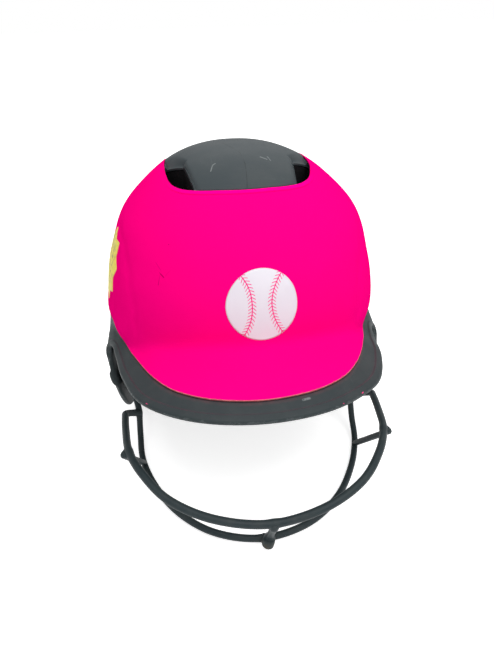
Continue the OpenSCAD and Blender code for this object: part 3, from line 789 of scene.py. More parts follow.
def shellFinish(s):
    m, tree, shader, here = newMaterial("greyShell", 0.6, 0.12)
    grain = useGroup(tree, mouldGrain, Vector=here, Grain=2600.0, Mottle=38.0)
    toEdge, belowHem = attribute(tree, "toEdge")["Fac"], attribute(tree, "belowHem")["Fac"]
    inside = attribute(tree, "inside")["Fac"]
    # painted light: the crown panel is a little lighter than the peak and the flaps, which get a shaded copy
    # of the same grey
    low = step(tree, belowHem, -60.0, -20.0)
    base = mixColour(tree, low, s["grey"], s["shadedLowerGrey"])
    base = mixColour(tree, calc(tree, "MULTIPLY", grain["Shade"], 0.16), base, rgb(76, 84, 86))
    # a brownish band just below the hem of the cover: partly painted shade and a painted pink reflection
    # under the cover's edge, partly pink overspray
    seam = calc(tree, "MULTIPLY", step(tree, belowHem, -0.5, 0.2), step(tree, belowHem, 3.4, 0.6))
    stainAndHemShade = calc(tree, "MULTIPLY", seam, step(tree, noise(tree, here, 240.0, 4.0, 0.6), 0.3, 0.7, 0.15, 0.55))
    base = mixColour(tree, stainAndHemShade, base, rgb(96, 66, 72))
    # rubbed rim with pink chips where the spray shows
    rubbed = useGroup(tree, edgeWear, Vector=here, Distance=toEdge, Reach=1.5, Scale=300.0)["Mask"]
    base = mixColour(tree, calc(tree, "MULTIPLY", rubbed, 0.3), base, rgb(100, 106, 107))
    beadLine = calc(tree, "MULTIPLY", step(tree, toEdge, 4.6, 5.6), step(tree, toEdge, 7.0, 5.9))
    base = mixColour(tree, calc(tree, "MULTIPLY", beadLine, 0.1), base, rgb(110, 66, 80))
    chip = strokes(tree, here, s["chips"], 0.35)
    base = mixColour(tree, chip, base, rgb(240, 60, 130))
    pale = strokes(tree, here, s["paleMarks"] + s["crownScratches"], 0.62)
    hair = useGroup(tree, hairScratches, Vector=here, Amount=0.5)["Mask"]
    pale = calc(tree, "MAXIMUM", calc(tree, "MULTIPLY", pale, 0.5), calc(tree, "MULTIPLY", hair, 0.16))
    base = mixColour(tree, pale, base, rgb(150, 156, 156))
    line = strokes(tree, here, [(a, b, 0.42) for a, b in zip(s["mouldLine"], s["mouldLine"][1:])], 0.0)
    base = mixColour(tree, calc(tree, "MULTIPLY", line, 0.55), base, rgb(34, 38, 40))
    dusty = useGroup(tree, dust, Vector=here, Scale=34.0, Amount=0.04)["Mask"]
    base = mixColour(tree, dusty, base, rgb(150, 144, 138))
    # the inner wall is darker and dull: painted shade inside the hollow shell
    base = mixColour(tree, calc(tree, "MULTIPLY", inside, 0.5), base, rgb(30, 33, 35))
    tree.links.new(base, shader.inputs["Base Color"])
    rough = calc(tree, "ADD", 0.44, calc(tree, "MULTIPLY", grain["Shade"], 0.16))
    put(tree, shader.inputs["Roughness"], calc(tree, "ADD", rough, calc(tree, "MULTIPLY", pale, 0.4)))
    cuts = calc(tree, "MULTIPLY", calc(tree, "ADD", pale, line), 2.0)
    height = calc(tree, "SUBTRACT", grain["Height"], cuts)
    addBump(tree, shader, height, 0.00003, 0.5)
    return m


shellPiece = makeShell(shell)
shellPiece.data.materials.append(shellFinish(shell))
print("shell:", len(shellPiece.data.polygons), "faces")


# a moulded bead round each ear opening, laid on the flap
earBead = {"radius": 1.2, "sink": 0.85}


def earBeadPath(s, side):
    # points round the opening on the outer face of the flap, found by looking in from the side
    tree = BVHTree.FromObject(shellPiece, bpy.context.evaluated_depsgraph_get())
    outline = stadium(shell["earPlace"], shell["earRadius"] + 0.9, shell["earStretch"], 40)
    path = []
    for y, z in outline:
        start = Vector((side * 0.13, y * mm, z * mm))
        hit = tree.ray_cast(start, Vector((-side, 0, 0)))[0]
        path.append(np.array(hit) / mm - [side * s["sink"], 0, 0])
    path = np.array(path)
    keep = np.linalg.norm(path - np.roll(path, 1, 0), axis=1) > 0.3
    return path[keep]


earBeads = []
for side in (1, -1):
    earBeads.append(sweepTube(earBeadPath(earBead, side), earBead["radius"], 12, (side, 0, 0), closed=True))
beadPiece = meshPiece("ear_opening_beads", *joinShapes(earBeads))
setAttribute(beadPiece, "toEdge", np.full(len(beadPiece.data.vertices), 40))
setAttribute(beadPiece, "belowHem", np.full(len(beadPiece.data.vertices), 40))
setAttribute(beadPiece, "inside", np.zeros(len(beadPiece.data.vertices)))
beadPiece.data.materials.append(shellPiece.data.materials[0])
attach(beadPiece, "root")
print("ear beads:", len(beadPiece.data.polygons), "faces")

# outer cover, open at the crown
cover = {
    "columnSteps": 9,
    "rows": 62,
    "innerRows": 16,
    "bond": 0.65,
    "body": 1.2,
    "hem": 0.8,
    "lipRise": 0.16,  # the band along the crown opening stands a little proud
    "grooveAt": 3.5,  # mm from the opening to the fine groove below that band
    "groove": 0.34,
    # a soft crease down each side of the forehead, and its depth and width
    "crease": [(85.6, -27.6, 165.2), (81.2, -51.0, 159.3), (77.4, -70.0, 145.7), (75.5, -81.5, 129.5),
               (74.7, -87.0, 113.6)],
    "creaseShape": (0.55, 3.4),
    "pink": rgb(250, 2, 125),
    "scuffs": [((-57.5, -83.1, 159.3), (-54.6, -87.9, 155.9), 0.7),
               ((-54.6, -87.9, 155.9), (-56.7, -91.4, 147.5), 0.55),
               ((-51.7, -91.6, 153.4), (-48.3, -91.5, 157.1), 0.6),
               ((-57.0, -86.5, 155.5), (-52.5, -91.0, 152.0), 0.5),
               ((-62.2, -79.7, 158.2), (-60.4, -85.5, 152.5), 0.45),
               ((-48.6, -81.0, 169.9), (-48.2, -81.3, 169.6), 0.7),
               ((76.4, -58.6, 161.2), (77.3, -61.6, 156.5), 0.5),
               ((82.0, -53.2, 155.9), (80.0, -57.5, 155.2), 0.45)],
}


def distanceToLine(q, line):
    # mm from points to a line of straight runs
    best = np.full(q.shape[:-1], 1e9)
    for a, b in zip(np.array(line, float), np.array(line, float)[1:]):
        t = np.clip(((q - a) @ (b - a)) / ((b - a) @ (b - a)), 0, 1)
        best = np.minimum(best, np.linalg.norm(q - a - t[..., None] * (b - a), axis=-1))
    return best


def atFront(p):
    return 1 - smoothStep(36, 62, folded(p))


def coverGrid(s):
    p = columnsOf(s["columnSteps"])[:, None]
    top, low = crownV(p), hemV(p)
    topLength, lowLength = lengthAt(p, top), lengthAt(p, low)
    near = np.array([0.5, 0.9, 1.4, 2.0, 2.5, 2.85, 3.1, 3.3, 3.5, 3.7, 3.9, 4.15, 4.5, 5.2, 6.2, 7.6])
    far = np.array([3.4, 2.2, 1.2, 0.6, 0.3])
    vNear = top + near[None, :] / topLength
    vFar = low - far[None, :] / lowLength
    start, end = vNear[:, -1:], vFar[:, :1]
    vMain = start + (end - start) * np.linspace(0, 1, s["rows"] + 2)[None, 1:-1]
    outerV = np.concatenate([vNear, vMain, vFar], 1)
    w = (outerV - top) / (low - top)
    thick = s["body"] - (s["body"] - s["hem"]) * w ** 4
    mark = np.concatenate([near, np.full(s["rows"] + len(far), 99.0)])
    band = s["lipRise"] * (1 - smoothStep(2.6, 3.4, mark))
    groove = s["groove"] * np.exp(-((mark - s["grooveAt"]) / 0.32) ** 2)
    # both fade out toward the sides
    outerD = s["bond"] + thick + (band - groove)[None, :] * atFront(p)
    place = skinOff(p, outerV, outerD)
    place[..., 0] = np.abs(place[..., 0])
    depth, width = s["creaseShape"]
    outerD = outerD - depth * np.exp(-(distanceToLine(place, s["crease"]) / width) ** 2)
    # round the hem, back up the inside, and round the lip
    turn = np.linspace(0, math.pi, 8)[None, 1:-1]
    hemD = s["bond"] + s["hem"] / 2 * (1 + np.cos(turn)) + 0 * p
    hemV2 = low - (0.12 - 0.12 * np.sin(turn)) / lowLength
    innerV = low + (top + 0.3 / topLength - low) * np.linspace(0, 1, s["innerRows"])[None, :]
    innerD = s["bond"] + 0 * innerV
    lipTurn = np.linspace(0, math.pi, 10)[None, 1:-1]
    lipRadius = s["body"] / 2 + s["lipRise"] / 2
    lipD = s["bond"] + lipRadius * (1 - np.cos(lipTurn)) + 0 * p
    lipV = top + (0.5 - 0.5 * np.sin(lipTurn)) / topLength
    v = np.concatenate([outerV, hemV2, innerV, lipV], 1)
    d = np.concatenate([outerD, hemD, innerD, lipD], 1)
    return p, v, d


def makeCover(s):
    p, v, d = coverGrid(s)
    piece = ringMesh("cover_skin", skinOff(p, v, d))
    setAttribute(piece, "toHem", ((hemV(p) - v) * lengthAt(p, hemV(p))).ravel())
    setAttribute(piece, "toLip", ((v - crownV(p)) * lengthAt(p, crownV(p))).ravel())
    setAttribute(piece, "atFront", (atFront(p) + 0 * v).ravel())
    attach(piece, "root")
    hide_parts("outer_cover")
    return piece


def coverFinish(s):
    m, tree, shader, here = newMaterial("pinkCover", 0.55, 0.0)
    grain = useGroup(tree, mouldGrain, Vector=here, Grain=3200.0, Mottle=24.0)
    toHem, toLip = attribute(tree, "toHem")["Fac"], attribute(tree, "toLip")["Fac"]
    atFront = attribute(tree, "atFront")["Fac"]
    base = mixColour(tree, calc(tree, "MULTIPLY", grain["Shade"], 0.3), s["pink"], rgb(246, 0, 122))
    # a painted highlight along the band at the crown opening, and painted shade as a dark line in its groove
    band = step(tree, toLip, 3.2, 2.4)
    band = calc(tree, "MULTIPLY", band, atFront)
    base = mixColour(tree, calc(tree, "MULTIPLY", band, 0.6), base, rgb(255, 0, 150))
    # painted shade in the groove
    groove = calc(tree, "MULTIPLY", step(tree, toLip, 3.0, 3.5), step(tree, toLip, 4.1, 3.6))
    groove = calc(tree, "MULTIPLY", groove, atFront)
    base = mixColour(tree, calc(tree, "MULTIPLY", groove, 0.5), base, rgb(214, 0, 100))
    marks = strokes(tree, here, s["scuffs"], 0.45)
    base = mixColour(tree, calc(tree, "MULTIPLY", marks, 0.85), base, rgb(166, 0, 70))
    hair = useGroup(tree, hairScratches, Vector=here, Amount=0.35)["Mask"]
    base = mixColour(tree, calc(tree, "MULTIPLY", hair, 0.12), base, rgb(214, 0, 100))
    # a tan line along the hem of the cover
    cut = step(tree, toHem, 0.55, 0.25)
    base = mixColour(tree, calc(tree, "MULTIPLY", cut, 0.8), base, rgb(176, 128, 112))
    worn = useGroup(tree, edgeWear, Vector=here, Distance=toHem, Reach=1.6, Scale=320.0)["Mask"]
    base = mixColour(tree, calc(tree, "MULTIPLY", worn, 0.5), base, rgb(150, 70, 84))
    tree.links.new(base, shader.inputs["Base Color"])
    sheen = calc(tree, "MULTIPLY", grain["Shade"], 0.16)
    put(tree, shader.inputs["Roughness"], calc(tree, "ADD", 0.5, sheen))
    cuts = calc(tree, "MULTIPLY", calc(tree, "ADD", marks, hair), 2.5)
    height = calc(tree, "SUBTRACT", grain["Height"], cuts)
    addBump(tree, shader, height, 0.000025, 0.4)
    return m


coverPiece = makeCover(cover)
coverPiece.data.materials.append(coverFinish(cover))
print("cover:", len(coverPiece.data.polygons), "faces")

# impact liner: moulded foam bonded inside the shell, with channels between the pads
liner = {
    "columns": 144,
    "outerRows": 26,
    "innerRows": 64,
    "gap": 0.6,
    "thick": 13,
    "bevel": 3,
    "edge": [[0, 0.97], [40, 0.96], [60, 0.95], [90, 0.94], [112, 1.02], [130, 1.3], [150, 1.42],
             [180, 1.46]],
    "channel": (3.0, 5.5),  # depth and half width of the channels
    "ringChannel": 0.5,  # how far down the skin the channel round the crown runs
}


def makeLiner(s):
    p = (np.arange(s["columns"]) * 360 / s["columns"] - 180 + 360 / s["columns"])[:, None]
    end = readTable(s["edge"], folded(p))[..., 1]
    near, far = skin["wall"] + s["gap"], skin["wall"] + s["gap"] + s["thick"]

    def rowAt(w):
        return w + (end - 1) * w ** 3
    outerV = rowAt(np.linspace(0.02, 1, s["outerRows"])[None, :])
    turn = np.linspace(0, math.pi / 2, 5)[None, 1:]
    length = lengthAt(p, end)
    # the lower edge is rounded over to the inner face
    rimV = end - s["bevel"] * (1 - np.cos(turn)) / length
    rimD = -(far - s["bevel"] + s["bevel"] * np.sin(turn)) + 0 * p
    innerV = rimV[:, -1:] + (0.02 - rimV[:, -1:]) * np.linspace(0, 1, s["innerRows"])[None, 1:]
    place = skinAt(p, innerV)
    deep, half = s["channel"]
    middle = 1 - smoothStep(half - 1.5, half + 1.5, np.abs(place[..., 0]))
    away = np.abs(innerV - s["ringChannel"]) * lengthAt(p, s["ringChannel"])
    across = 1 - smoothStep(half - 1.5, half + 1.5, away)
    lines = 1 - smoothStep(half - 2, half + 1, np.abs(folded(p) - 55) * np.radians(1) * np.hypot(
        place[..., 0], place[..., 1]))
    lines = lines * smoothStep(0.4, 0.5, innerV)
    innerD = -far + deep * np.maximum(np.maximum(middle, across), lines)
    v = np.concatenate([outerV, rimV, innerV], 1)
    d = np.concatenate([np.full_like(outerV, -near), rimD, innerD], 1)
    top = skinAt(0.0, 1e-4)
    piece = ringMesh("liner_foam", skinOff(p, v, d), [top - [0, 0, near], top - [0, 0, far - deep]])
    holes = []
    for side in (1, -1):
        grown = grownOutline(shell["vents"][side], 0.4)
        outline = [(side * x, y) for x, y in softCorners(grown, shell["ventCorner"])]
        holes.append(prism("linerVent", outline, 120, 220, "z"))
    cutAway(piece, holes, 35)
    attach(piece, "root")
    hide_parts("impact_liner")
    return piece


def grownOutline(points, grow):
    # an outline moved outward from its middle
    q = np.array(points, float)
    return q + unit(q - q.mean(0)) * grow


def foamFinish():
    m, tree, shader, here = newMaterial("blackFoam", 0.85, 0.12)
    beads = tree.nodes.new("ShaderNodeTexVoronoi")
    put(tree, beads.inputs["Vector"], here)
    put(tree, beads.inputs["Scale"], 420.0)
    grain = useGroup(tree, mouldGrain, Vector=here, Grain=3000.0, Mottle=90.0)
    shade = calc(tree, "MULTIPLY", calc(tree, "ADD", beads.outputs["Distance"], grain["Shade"]), 0.5)
    base = mixColour(tree, shade, rgb(14, 14, 16), rgb(30, 30, 33))
    specks = useGroup(tree, dust, Vector=here, Scale=50.0, Amount=0.06)["Mask"]
    base = mixColour(tree, specks, base, rgb(120, 112, 104))
    tree.links.new(base, shader.inputs["Base Color"])
    addBump(tree, shader, beads.outputs["Distance"], 0.0003, 0.6)
    return m


linerPiece = makeLiner(liner)
linerPiece.data.materials.append(foamFinish())
print("liner:", len(linerPiece.data.polygons), "faces")

# pads: sewn foam cushions. Each lies between two azimuths and two depths down the skin
pads = {
    "list": {
        # azimuths, depths, where its back lies, thickness, rows and columns
        "brow_pad": ((-46, 46), (0.7, 0.93), 17.2, 9, (64, 22)),
        "temple_pad_left": ((64, 116), (0.6, 0.86), 17.2, 8, (44, 24)),
        "temple_pad_right": ((-116, -64), (0.6, 0.86), 17.2, 8, (44, 24)),
        "nape_pad": ((146, 214), (1.04, 1.36), 17.2, 9, (44, 20)),
    },
    "crown": (0.266, 17.5, 9),  # depth of its edge, where its back lies, thickness
    "ear": ((91.8, 111.7), (1.19, 1.85), 3.35, 15, 20.6),  # the last is the radius of its opening
    "seam": 2.0,  # thickness at the edge
    "seamInset": 6.5,  # mm from the edge to the sewn line
    "seamDeep": 1.3,
    "pressure": 4.0,
    "cap": 0.7,  # how far the swelling may move a point, in mm
    "stitch": (3.6, 2.2, 0.28),  # spacing, length and radius
    "piping": 0.75,
    "cloth": rgb(38, 38, 40),
    "thread": rgb(74, 75, 78),
}


def closeCushion(name, outer, inner, ring):
    # a closed cushion from two faces, each [column][row]; ring: the columns close on themselves
    nc, nr = outer.shape[:2]
    base = nc * nr
    verts = list(outer.reshape(-1, 3)) + list(inner.reshape(-1, 3))
    faces = []
    last = nc if ring else nc - 1
    for c in range(last):
        a, b = c * nr, (c + 1) % nc * nr
        for r in range(nr - 1):
            faces.append((a + r, a + r + 1, b + r + 1, b + r))
            faces.append((base + b + r, base + b + r + 1, base + a + r + 1, base + a + r))
        faces.append((a, b, base + b, base + a))
        faces.append((b + nr - 1, a + nr - 1, base + a + nr - 1, base + b + nr - 1))
    if not ring:
        end = (nc - 1) * nr
        for r in range(nr - 1):
            faces.append((r + 1, r, base + r, base + r + 1))
            faces.append((end + r, end + r + 1, base + end + r + 1, base + end + r))
    piece = meshPiece(name, verts, faces)
    mesh = bmesh.new()
    mesh.from_mesh(piece.data)
    bmesh.ops.recalc_face_normals(mesh, faces=mesh.faces)
    mesh.to_mesh(piece.data)
    mesh.free()
    return piece


def cushionForm(s, thick, edge, back):
    # depths of both faces of a cushion by the distance to its edge in mm
    swell = np.clip(1 - (1 - np.clip(edge / (thick * 1.1), 0, 1)) ** 2, 0, 1) ** 0.5
    sewn = s["seamDeep"] * np.exp(-((edge - s["seamInset"]) / 1.5) ** 2)
    deep = s["seam"] + (thick - 0.5 - s["seam"]) * swell - sewn
    return -(back + 0.15 + 0.35 * (1 - swell)), -(back + np.maximum(deep, s["seam"]))


def squircle(a, power=9):
    # a square with soft corners, as two numbers from -1 to 1
    c, w = np.cos(a), np.sin(a)
    r = (np.abs(c) ** power + np.abs(w) ** power) ** (-1 / power)
    return c * r, w * r


def sheetPad(s, name):
    (p0, p1), (v0, v1), back, thick, (nu, nv) = s["list"][name]
    u = np.linspace(0, 1, nu + 1)[:, None]
    w = np.linspace(0, 1, nv + 1)[None, :]
    u, w = np.broadcast_arrays(0.12 * u + 0.88 * (0.5 - 0.5 * np.cos(math.pi * u)),
                               0.12 * w + 0.88 * (0.5 - 0.5 * np.cos(math.pi * w)))
    # the corners are pulled in
    a, b = 2 * u - 1, 2 * w - 1
    pull = 1 - 0.035 * (a * b) ** 4
    p = p0 + (p1 - p0) * (0.5 + 0.494 * a * pull)
    v = v0 + (v1 - v0) * (0.5 + 0.494 * b * pull)
    middle = skinOff(p, v, -back - thick / 2)
    wide = np.linalg.norm(np.diff(middle, axis=0), axis=-1).sum(0).mean()
    tall = np.linalg.norm(np.diff(middle, axis=1), axis=-1).sum(1).mean()
    edge = np.minimum((1 - np.abs(a)) * wide / 2, (1 - np.abs(b)) * tall / 2)
    outerD, innerD = cushionForm(s, thick, edge, back)
    piece = closeCushion(name + "_cushion", skinOff(p, v, outerD), skinOff(p, v, innerD), False)
    cloth = np.stack([(a * wide / 2), (b * tall / 2), 0 * a], -1).reshape(-1, 3)
    setAttribute(piece, "clothAt", np.vstack([cloth, cloth + [0, 0, 1]]))
    setAttribute(piece, "edge", np.tile(edge.ravel(), 2))
    # its rim, and the line along which it is sewn
    t = np.linspace(0, 2 * math.pi, 161)[:-1]
    lines = []
    for inset in (0.6, s["seamInset"]):
        c, q = squircle(t)
        x, y = c * (1 - 2 * inset / wide), q * (1 - 2 * inset / tall)
        lines.append((p0 + (p1 - p0) * (0.5 + 0.494 * x), v0 + (v1 - v0) * (0.5 + 0.494 * y)))
    rim = skinOff(lines[0][0], lines[0][1], -(back + 1.35))
    sewn = skinOff(lines[1][0], lines[1][1], -(back + thick))
    return piece, [rim], sewn


def crownPad(s):
    edgeV, back, thick = s["crown"]
    p = (np.arange(96) * 3.75 - 180)[:, None]
    w = np.linspace(0, 1, 20)[None, :] ** 0.7
    v = np.maximum(edgeV * w, 0.004)
    tall = np.linalg.norm(skinAt(p, edgeV) - skinAt(0.0, 1e-4), axis=-1)
    edge = tall * (1 - w)
    outerD, innerD = cushionForm(s, thick, edge, back)
    outer, inner = skinOff(p, v, outerD), skinOff(p, v, innerD)
    grid = np.concatenate([outer, inner[:, ::-1]], 1)
    poles = [outer[:, 0].mean(0), inner[:, 0].mean(0)]
    piece = ringMesh("crown_pad_cushion", grid, poles)
    place = pointsOf(piece)
    setAttribute(piece, "clothAt", np.stack([place[:, 0], place[:, 1], 0 * place[:, 0]], -1))
    edges = np.concatenate([edge, edge[:, ::-1]], 1).ravel()
    setAttribute(piece, "edge", np.concatenate([edges, [30, 30]]))
    q = np.arange(120) * 3.0 - 180
    far = np.interp(q, p[:, 0], tall[:, 0], period=360)
    rim = skinOff(q, edgeV * (1 - 0.6 / far), -(back + 1.35))
    sewn = skinOff(q, edgeV * (1 - s["seamInset"] / far), -(back + thick))
    return piece, [rim], sewn


def findOnSkin(y, z, side):
    # azimuth and depth of the places on a flap that have this y and z
    p, v = np.full(y.shape, 101.0), np.full(y.shape, 1.5)
    for _ in range(9):
        here, more, down = skinAt(p, v), skinAt(p + 0.1, v), skinAt(p, v + 0.002)
        a, b = (more - here)[..., 1:] / 0.1, (down - here)[..., 1:] / 0.002
        miss = np.stack([y, z], -1) - here[..., 1:]
        det = a[..., 0] * b[..., 1] - a[..., 1] * b[..., 0]
        p = np.clip(p + (miss[..., 0] * b[..., 1] - miss[..., 1] * b[..., 0]) / det, 88, 118)
        v = np.clip(v + (a[..., 0] * miss[..., 1] - a[..., 1] * miss[..., 0]) / det, 1.05, 1.96)
    return side * p, v


def earPad(s, side):
    (p0, p1), (v0, v1), back, thick, hole = s["ear"]
    centre = np.array([shell["earPlace"][0], shell["earPlace"][1] + shell["earStretch"] / 2])
    a = (np.arange(128) + 0.5) * 2 * math.pi / 128
    # the outline of the pad as y and z, and the opening's, both in step round its middle
    t = np.linspace(0, 2 * math.pi, 721)[:-1]
    c, w = squircle(t)
    rimPoints = skinAt(p0 + (p1 - p0) * (0.5 + 0.5 * c), v0 + (v1 - v0) * (0.5 + 0.5 * w))[:, 1:] - centre
    order = np.argsort(np.arctan2(rimPoints[:, 1], rimPoints[:, 0]))
    turn = np.arctan2(rimPoints[:, 1], rimPoints[:, 0])[order]
    reach = np.linalg.norm(rimPoints, axis=1)[order]
    far = np.interp((a + math.pi) % (2 * math.pi) - math.pi, turn, reach, period=2 * math.pi)
    ca, sa, half = np.cos(a), np.sin(a), shell["earStretch"] / 2
    # where a ray from the middle meets the slot
    level = hole / np.maximum(np.abs(ca), 1e-6)
    onSide = level * np.abs(sa) <= half
    low = np.abs(sa) * half
    round_ = low + np.sqrt(np.maximum(low ** 2 - half ** 2 + hole ** 2, 0))
    near = np.where(onSide, level, round_)
    w = np.linspace(0, 1, 19)[None, :]
    w = 0.3 * w + 0.7 * (0.5 - 0.5 * np.cos(math.pi * w))
    r = near[:, None] + (far - near)[:, None] * w
    y, z = centre[0] + r * ca[:, None], centre[1] + r * sa[:, None]
    p, v = findOnSkin(y, z, side)
    span = (far - near)[:, None]
    edge = np.minimum(w, 1 - w) * span
    outerD, innerD = cushionForm(s, thick, edge * 1.25, back)
    name = "ear_pad_left" if side > 0 else "ear_pad_right"
    piece = closeCushion(name + "_cushion", skinOff(p, v, outerD), skinOff(p, v, innerD), True)
    cloth = np.stack([y - centre[0], z - centre[1], 0 * y], -1).reshape(-1, 3)
    setAttribute(piece, "clothAt", np.vstack([cloth, cloth + [0, 0, 1]]))
    setAttribute(piece, "edge", np.tile(edge.ravel(), 2))

    def loop(distance, depth):
        y2, z2 = centre[0] + distance * ca, centre[1] + distance * sa
        p2, v2 = findOnSkin(y2, z2, side)
        return skinOff(p2, v2, -depth)
    rims = [loop(far - 0.6, back + 1.35), loop(near + 0.6, back + 1.35)]
    return piece, rims, loop(far - s["seamInset"] * 0.9, back + thick)


def swellPads(s, pieces):
    # one short cloth run inflates all the pads; no point moves further than the cap
    before = {}
    for piece in pieces:
        before[piece.name] = pointsOf(piece)
        cloth = piece.modifiers.new("swell", "CLOTH")
        cloth.settings.use_pressure = True
        cloth.settings.uniform_pressure_force = s["pressure"]
        cloth.settings.effector_weights.gravity = 0
        cloth.settings.quality = 4
        cloth.settings.tension_stiffness = 40
        cloth.settings.compression_stiffness = 40
        cloth.settings.bending_stiffness = 2
        pinned = piece.vertex_groups.new(name="sewn")
        edge = np.empty(len(piece.data.vertices), np.float32)
        piece.data.attributes["edge"].data.foreach_get("value", edge)
        near = np.abs(edge - s["seamInset"]) < 0.7
        pinned.add([int(i) for i in np.nonzero((edge < 0.4) | near)[0]], 1.0, "REPLACE")
        cloth.settings.vertex_group_mass = "sewn"
    for i in range(1, 21):
        bpy.context.scene.frame_set(i)
    for piece in pieces:
        bakeModifiers(piece)
        old = before[piece.name]
        move = pointsOf(piece) - old
        size = np.linalg.norm(move, axis=1, keepdims=True)
        putPoints(piece, old + move * np.minimum(1, s["cap"] / np.maximum(size, 1e-6)))
    bpy.context.scene.frame_set(1)


def refine(piece):
    fine = piece.modifiers.new("fine", "SUBSURF")
    fine.levels = fine.render_levels = 1
    bakeModifiers(piece)
    piece.data.polygons.foreach_set("use_smooth", [True] * len(piece.data.polygons))


def clothFinish(s):
    m, tree, shader, here = newMaterial("padCloth", 0.9, 0.15)
    at = attribute(tree, "clothAt")["Vector"]
    weave = useGroup(tree, clothWeave, Vector=at, Pitch=0.85)
    edge = attribute(tree, "edge")["Fac"]
    base = mixColour(tree, weave["Shade"], rgb(22, 22, 24), s["cloth"])
    # painted shade: the cloth is darker along the sewn groove
    sewn = step(tree, calc(tree, "ABSOLUTE", calc(tree, "SUBTRACT", edge, s["seamInset"])), 1.2, 0.2)
    base = mixColour(tree, calc(tree, "MULTIPLY", sewn, 0.5), base, rgb(12, 12, 13))
    worn = step(tree, noise(tree, here, 45.0, 5.0, 0.6), 0.5, 0.75)
    base = mixColour(tree, calc(tree, "MULTIPLY", worn, 0.2), base, rgb(92, 88, 84))
    tree.links.new(base, shader.inputs["Base Color"])
    shader.inputs["Sheen Weight"].default_value = 0.25
    addBump(tree, shader, weave["Height"], 0.00022, 0.7)
    return m


def threadFinish(colour, name):
    m, tree, shader, here = newMaterial(name, 0.8, 0.2)
    twist = noise(tree, stretch(tree, here, (0, 0, 40), (2400, 900, 900)), 1.0, 2.0, 0.6)
    base = mixColour(tree, calc(tree, "MULTIPLY", twist, 0.7), colour, rgb(18, 18, 19))
    tree.links.new(base, shader.inputs["Base Color"])
    addBump(tree, shader, twist, 0.0001, 0.5)
    return m


def stitchRowTree():
    # stitches along the edges of a mesh: one small sewn loop every gap
    tree = bpy.data.node_groups.new("stitchRow", "GeometryNodeTree")
    face = tree.interface
    face.new_socket(name="Geometry", in_out="INPUT", socket_type="NodeSocketGeometry")
    for label in ("Gap", "Length", "Radius"):
        face.new_socket(name=label, in_out="INPUT", socket_type="NodeSocketFloat")
    face.new_socket(name="Thread", in_out="INPUT", socket_type="NodeSocketMaterial")
    face.new_socket(name="Geometry", in_out="OUTPUT", socket_type="NodeSocketGeometry")
    add = tree.nodes.new
    a, out = add("NodeGroupInput").outputs, add("NodeGroupOutput").inputs
    curve = add("GeometryNodeMeshToCurve")
    spread = add("GeometryNodeResampleCurve")
    spread.mode = "LENGTH"
    tangent = add("GeometryNodeInputTangent")
    turn = add("FunctionNodeAlignRotationToVector")
    turn.axis = "Z"
    loop = add("GeometryNodeMeshUVSphere")
    loop.inputs["Segments"].default_value = 8
    loop.inputs["Rings"].default_value = 6
    size = add("ShaderNodeCombineXYZ")
    shape = add("GeometryNodeTransform")
    place = add("GeometryNodeInstanceOnPoints")
    real = add("GeometryNodeRealizeInstances")
    dress = add("GeometryNodeSetMaterial")
    half = calc(tree, "MULTIPLY", a["Length"], 0.5)
    link = tree.links.new
    link(a["Geometry"], curve.inputs["Mesh"])
    link(curve.outputs["Curve"], spread.inputs["Curve"])
    link(a["Gap"], spread.inputs["Length"])
    link(tangent.outputs["Tangent"], turn.inputs["Vector"])
    loop.inputs["Radius"].default_value = 1.0
    for axis in ("X", "Y"):
        link(a["Radius"], size.inputs[axis])
    link(half, size.inputs["Z"])
    link(loop.outputs["Mesh"], shape.inputs["Geometry"])
    link(size.outputs["Vector"], shape.inputs["Scale"])
    link(spread.outputs["Curve"], place.inputs["Points"])
    link(shape.outputs["Geometry"], place.inputs["Instance"])
    link(turn.outputs["Rotation"], place.inputs["Rotation"])
    link(place.outputs["Instances"], real.inputs["Geometry"])
    link(real.outputs["Geometry"], dress.inputs["Geometry"])
    link(a["Thread"], dress.inputs["Material"])
    link(dress.outputs["Geometry"], out["Geometry"])
    return tree


stitchRow = stitchRowTree()


def sewLines(name, lines, sizes, thread):
    # stitches along closed lines of points in mm
    verts, edges = [], []
    for line in lines:
        n, k = len(verts), len(line)
        verts += [tuple(q * mm) for q in line]
        edges += [(n + i, n + (i + 1) % k) for i in range(k)]
    data = bpy.data.meshes.new(name)
    data.from_pydata(verts, edges, [])
    piece = bpy.data.objects.new(name, data)
    bpy.context.collection.objects.link(piece)
    sew = piece.modifiers.new("sew", "NODES")
    sew.node_group = stitchRow
    values = dict(zip(("Gap", "Length", "Radius"), [q * mm for q in sizes]))
    values["Thread"] = thread
    for item in stitchRow.interface.items_tree:
        if item.in_out == "INPUT" and item.name in values:
            sew[item.identifier] = values[item.name]
    bakeModifiers(piece)
    piece.data.polygons.foreach_set("use_smooth", [True] * len(piece.data.polygons))
    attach(piece, "root")
    return piece


def makePads(s):
    made = {name: sheetPad(s, name) for name in s["list"]}
    made["crown_pad"] = crownPad(s)
    made["ear_pad_left"], made["ear_pad_right"] = earPad(s, 1), earPad(s, -1)
    pieces = [m[0] for m in made.values()]
    swellPads(s, pieces)
    cloth, thread = clothFinish(s), threadFinish(s["thread"], "padThread")
    cord = threadFinish(rgb(30, 30, 32), "pipingCloth")
    seams = []
    for name, (piece, rims, sewn) in made.items():
        refine(piece)
        piece.data.materials.append(cloth)
        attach(piece, "root")
        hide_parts(name)
        tubes = [sweepTube(rim, s["piping"], 10, (0, 0.3, 1), closed=True) for rim in rims]
        piping = meshPiece(name + "_piping", *joinShapes(tubes))
        piping.data.materials.append(cord)
        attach(piping, "root")
        # the sewn line lies on the swollen cloth
        tree = BVHTree.FromObject(piece, bpy.context.evaluated_depsgraph_get())
        line = []
        for q in sewn:
            hit, normal = tree.find_nearest(Vector(q * mm))[:2]
            line.append((np.array(hit) + np.array(normal) * 0.0001) / mm)
        seams.append(np.array(line))
    sewLines("pad_stitches", seams, s["stitch"], thread)
    return made


padPieces = makePads(pads)
print("pads:", len(padPieces))

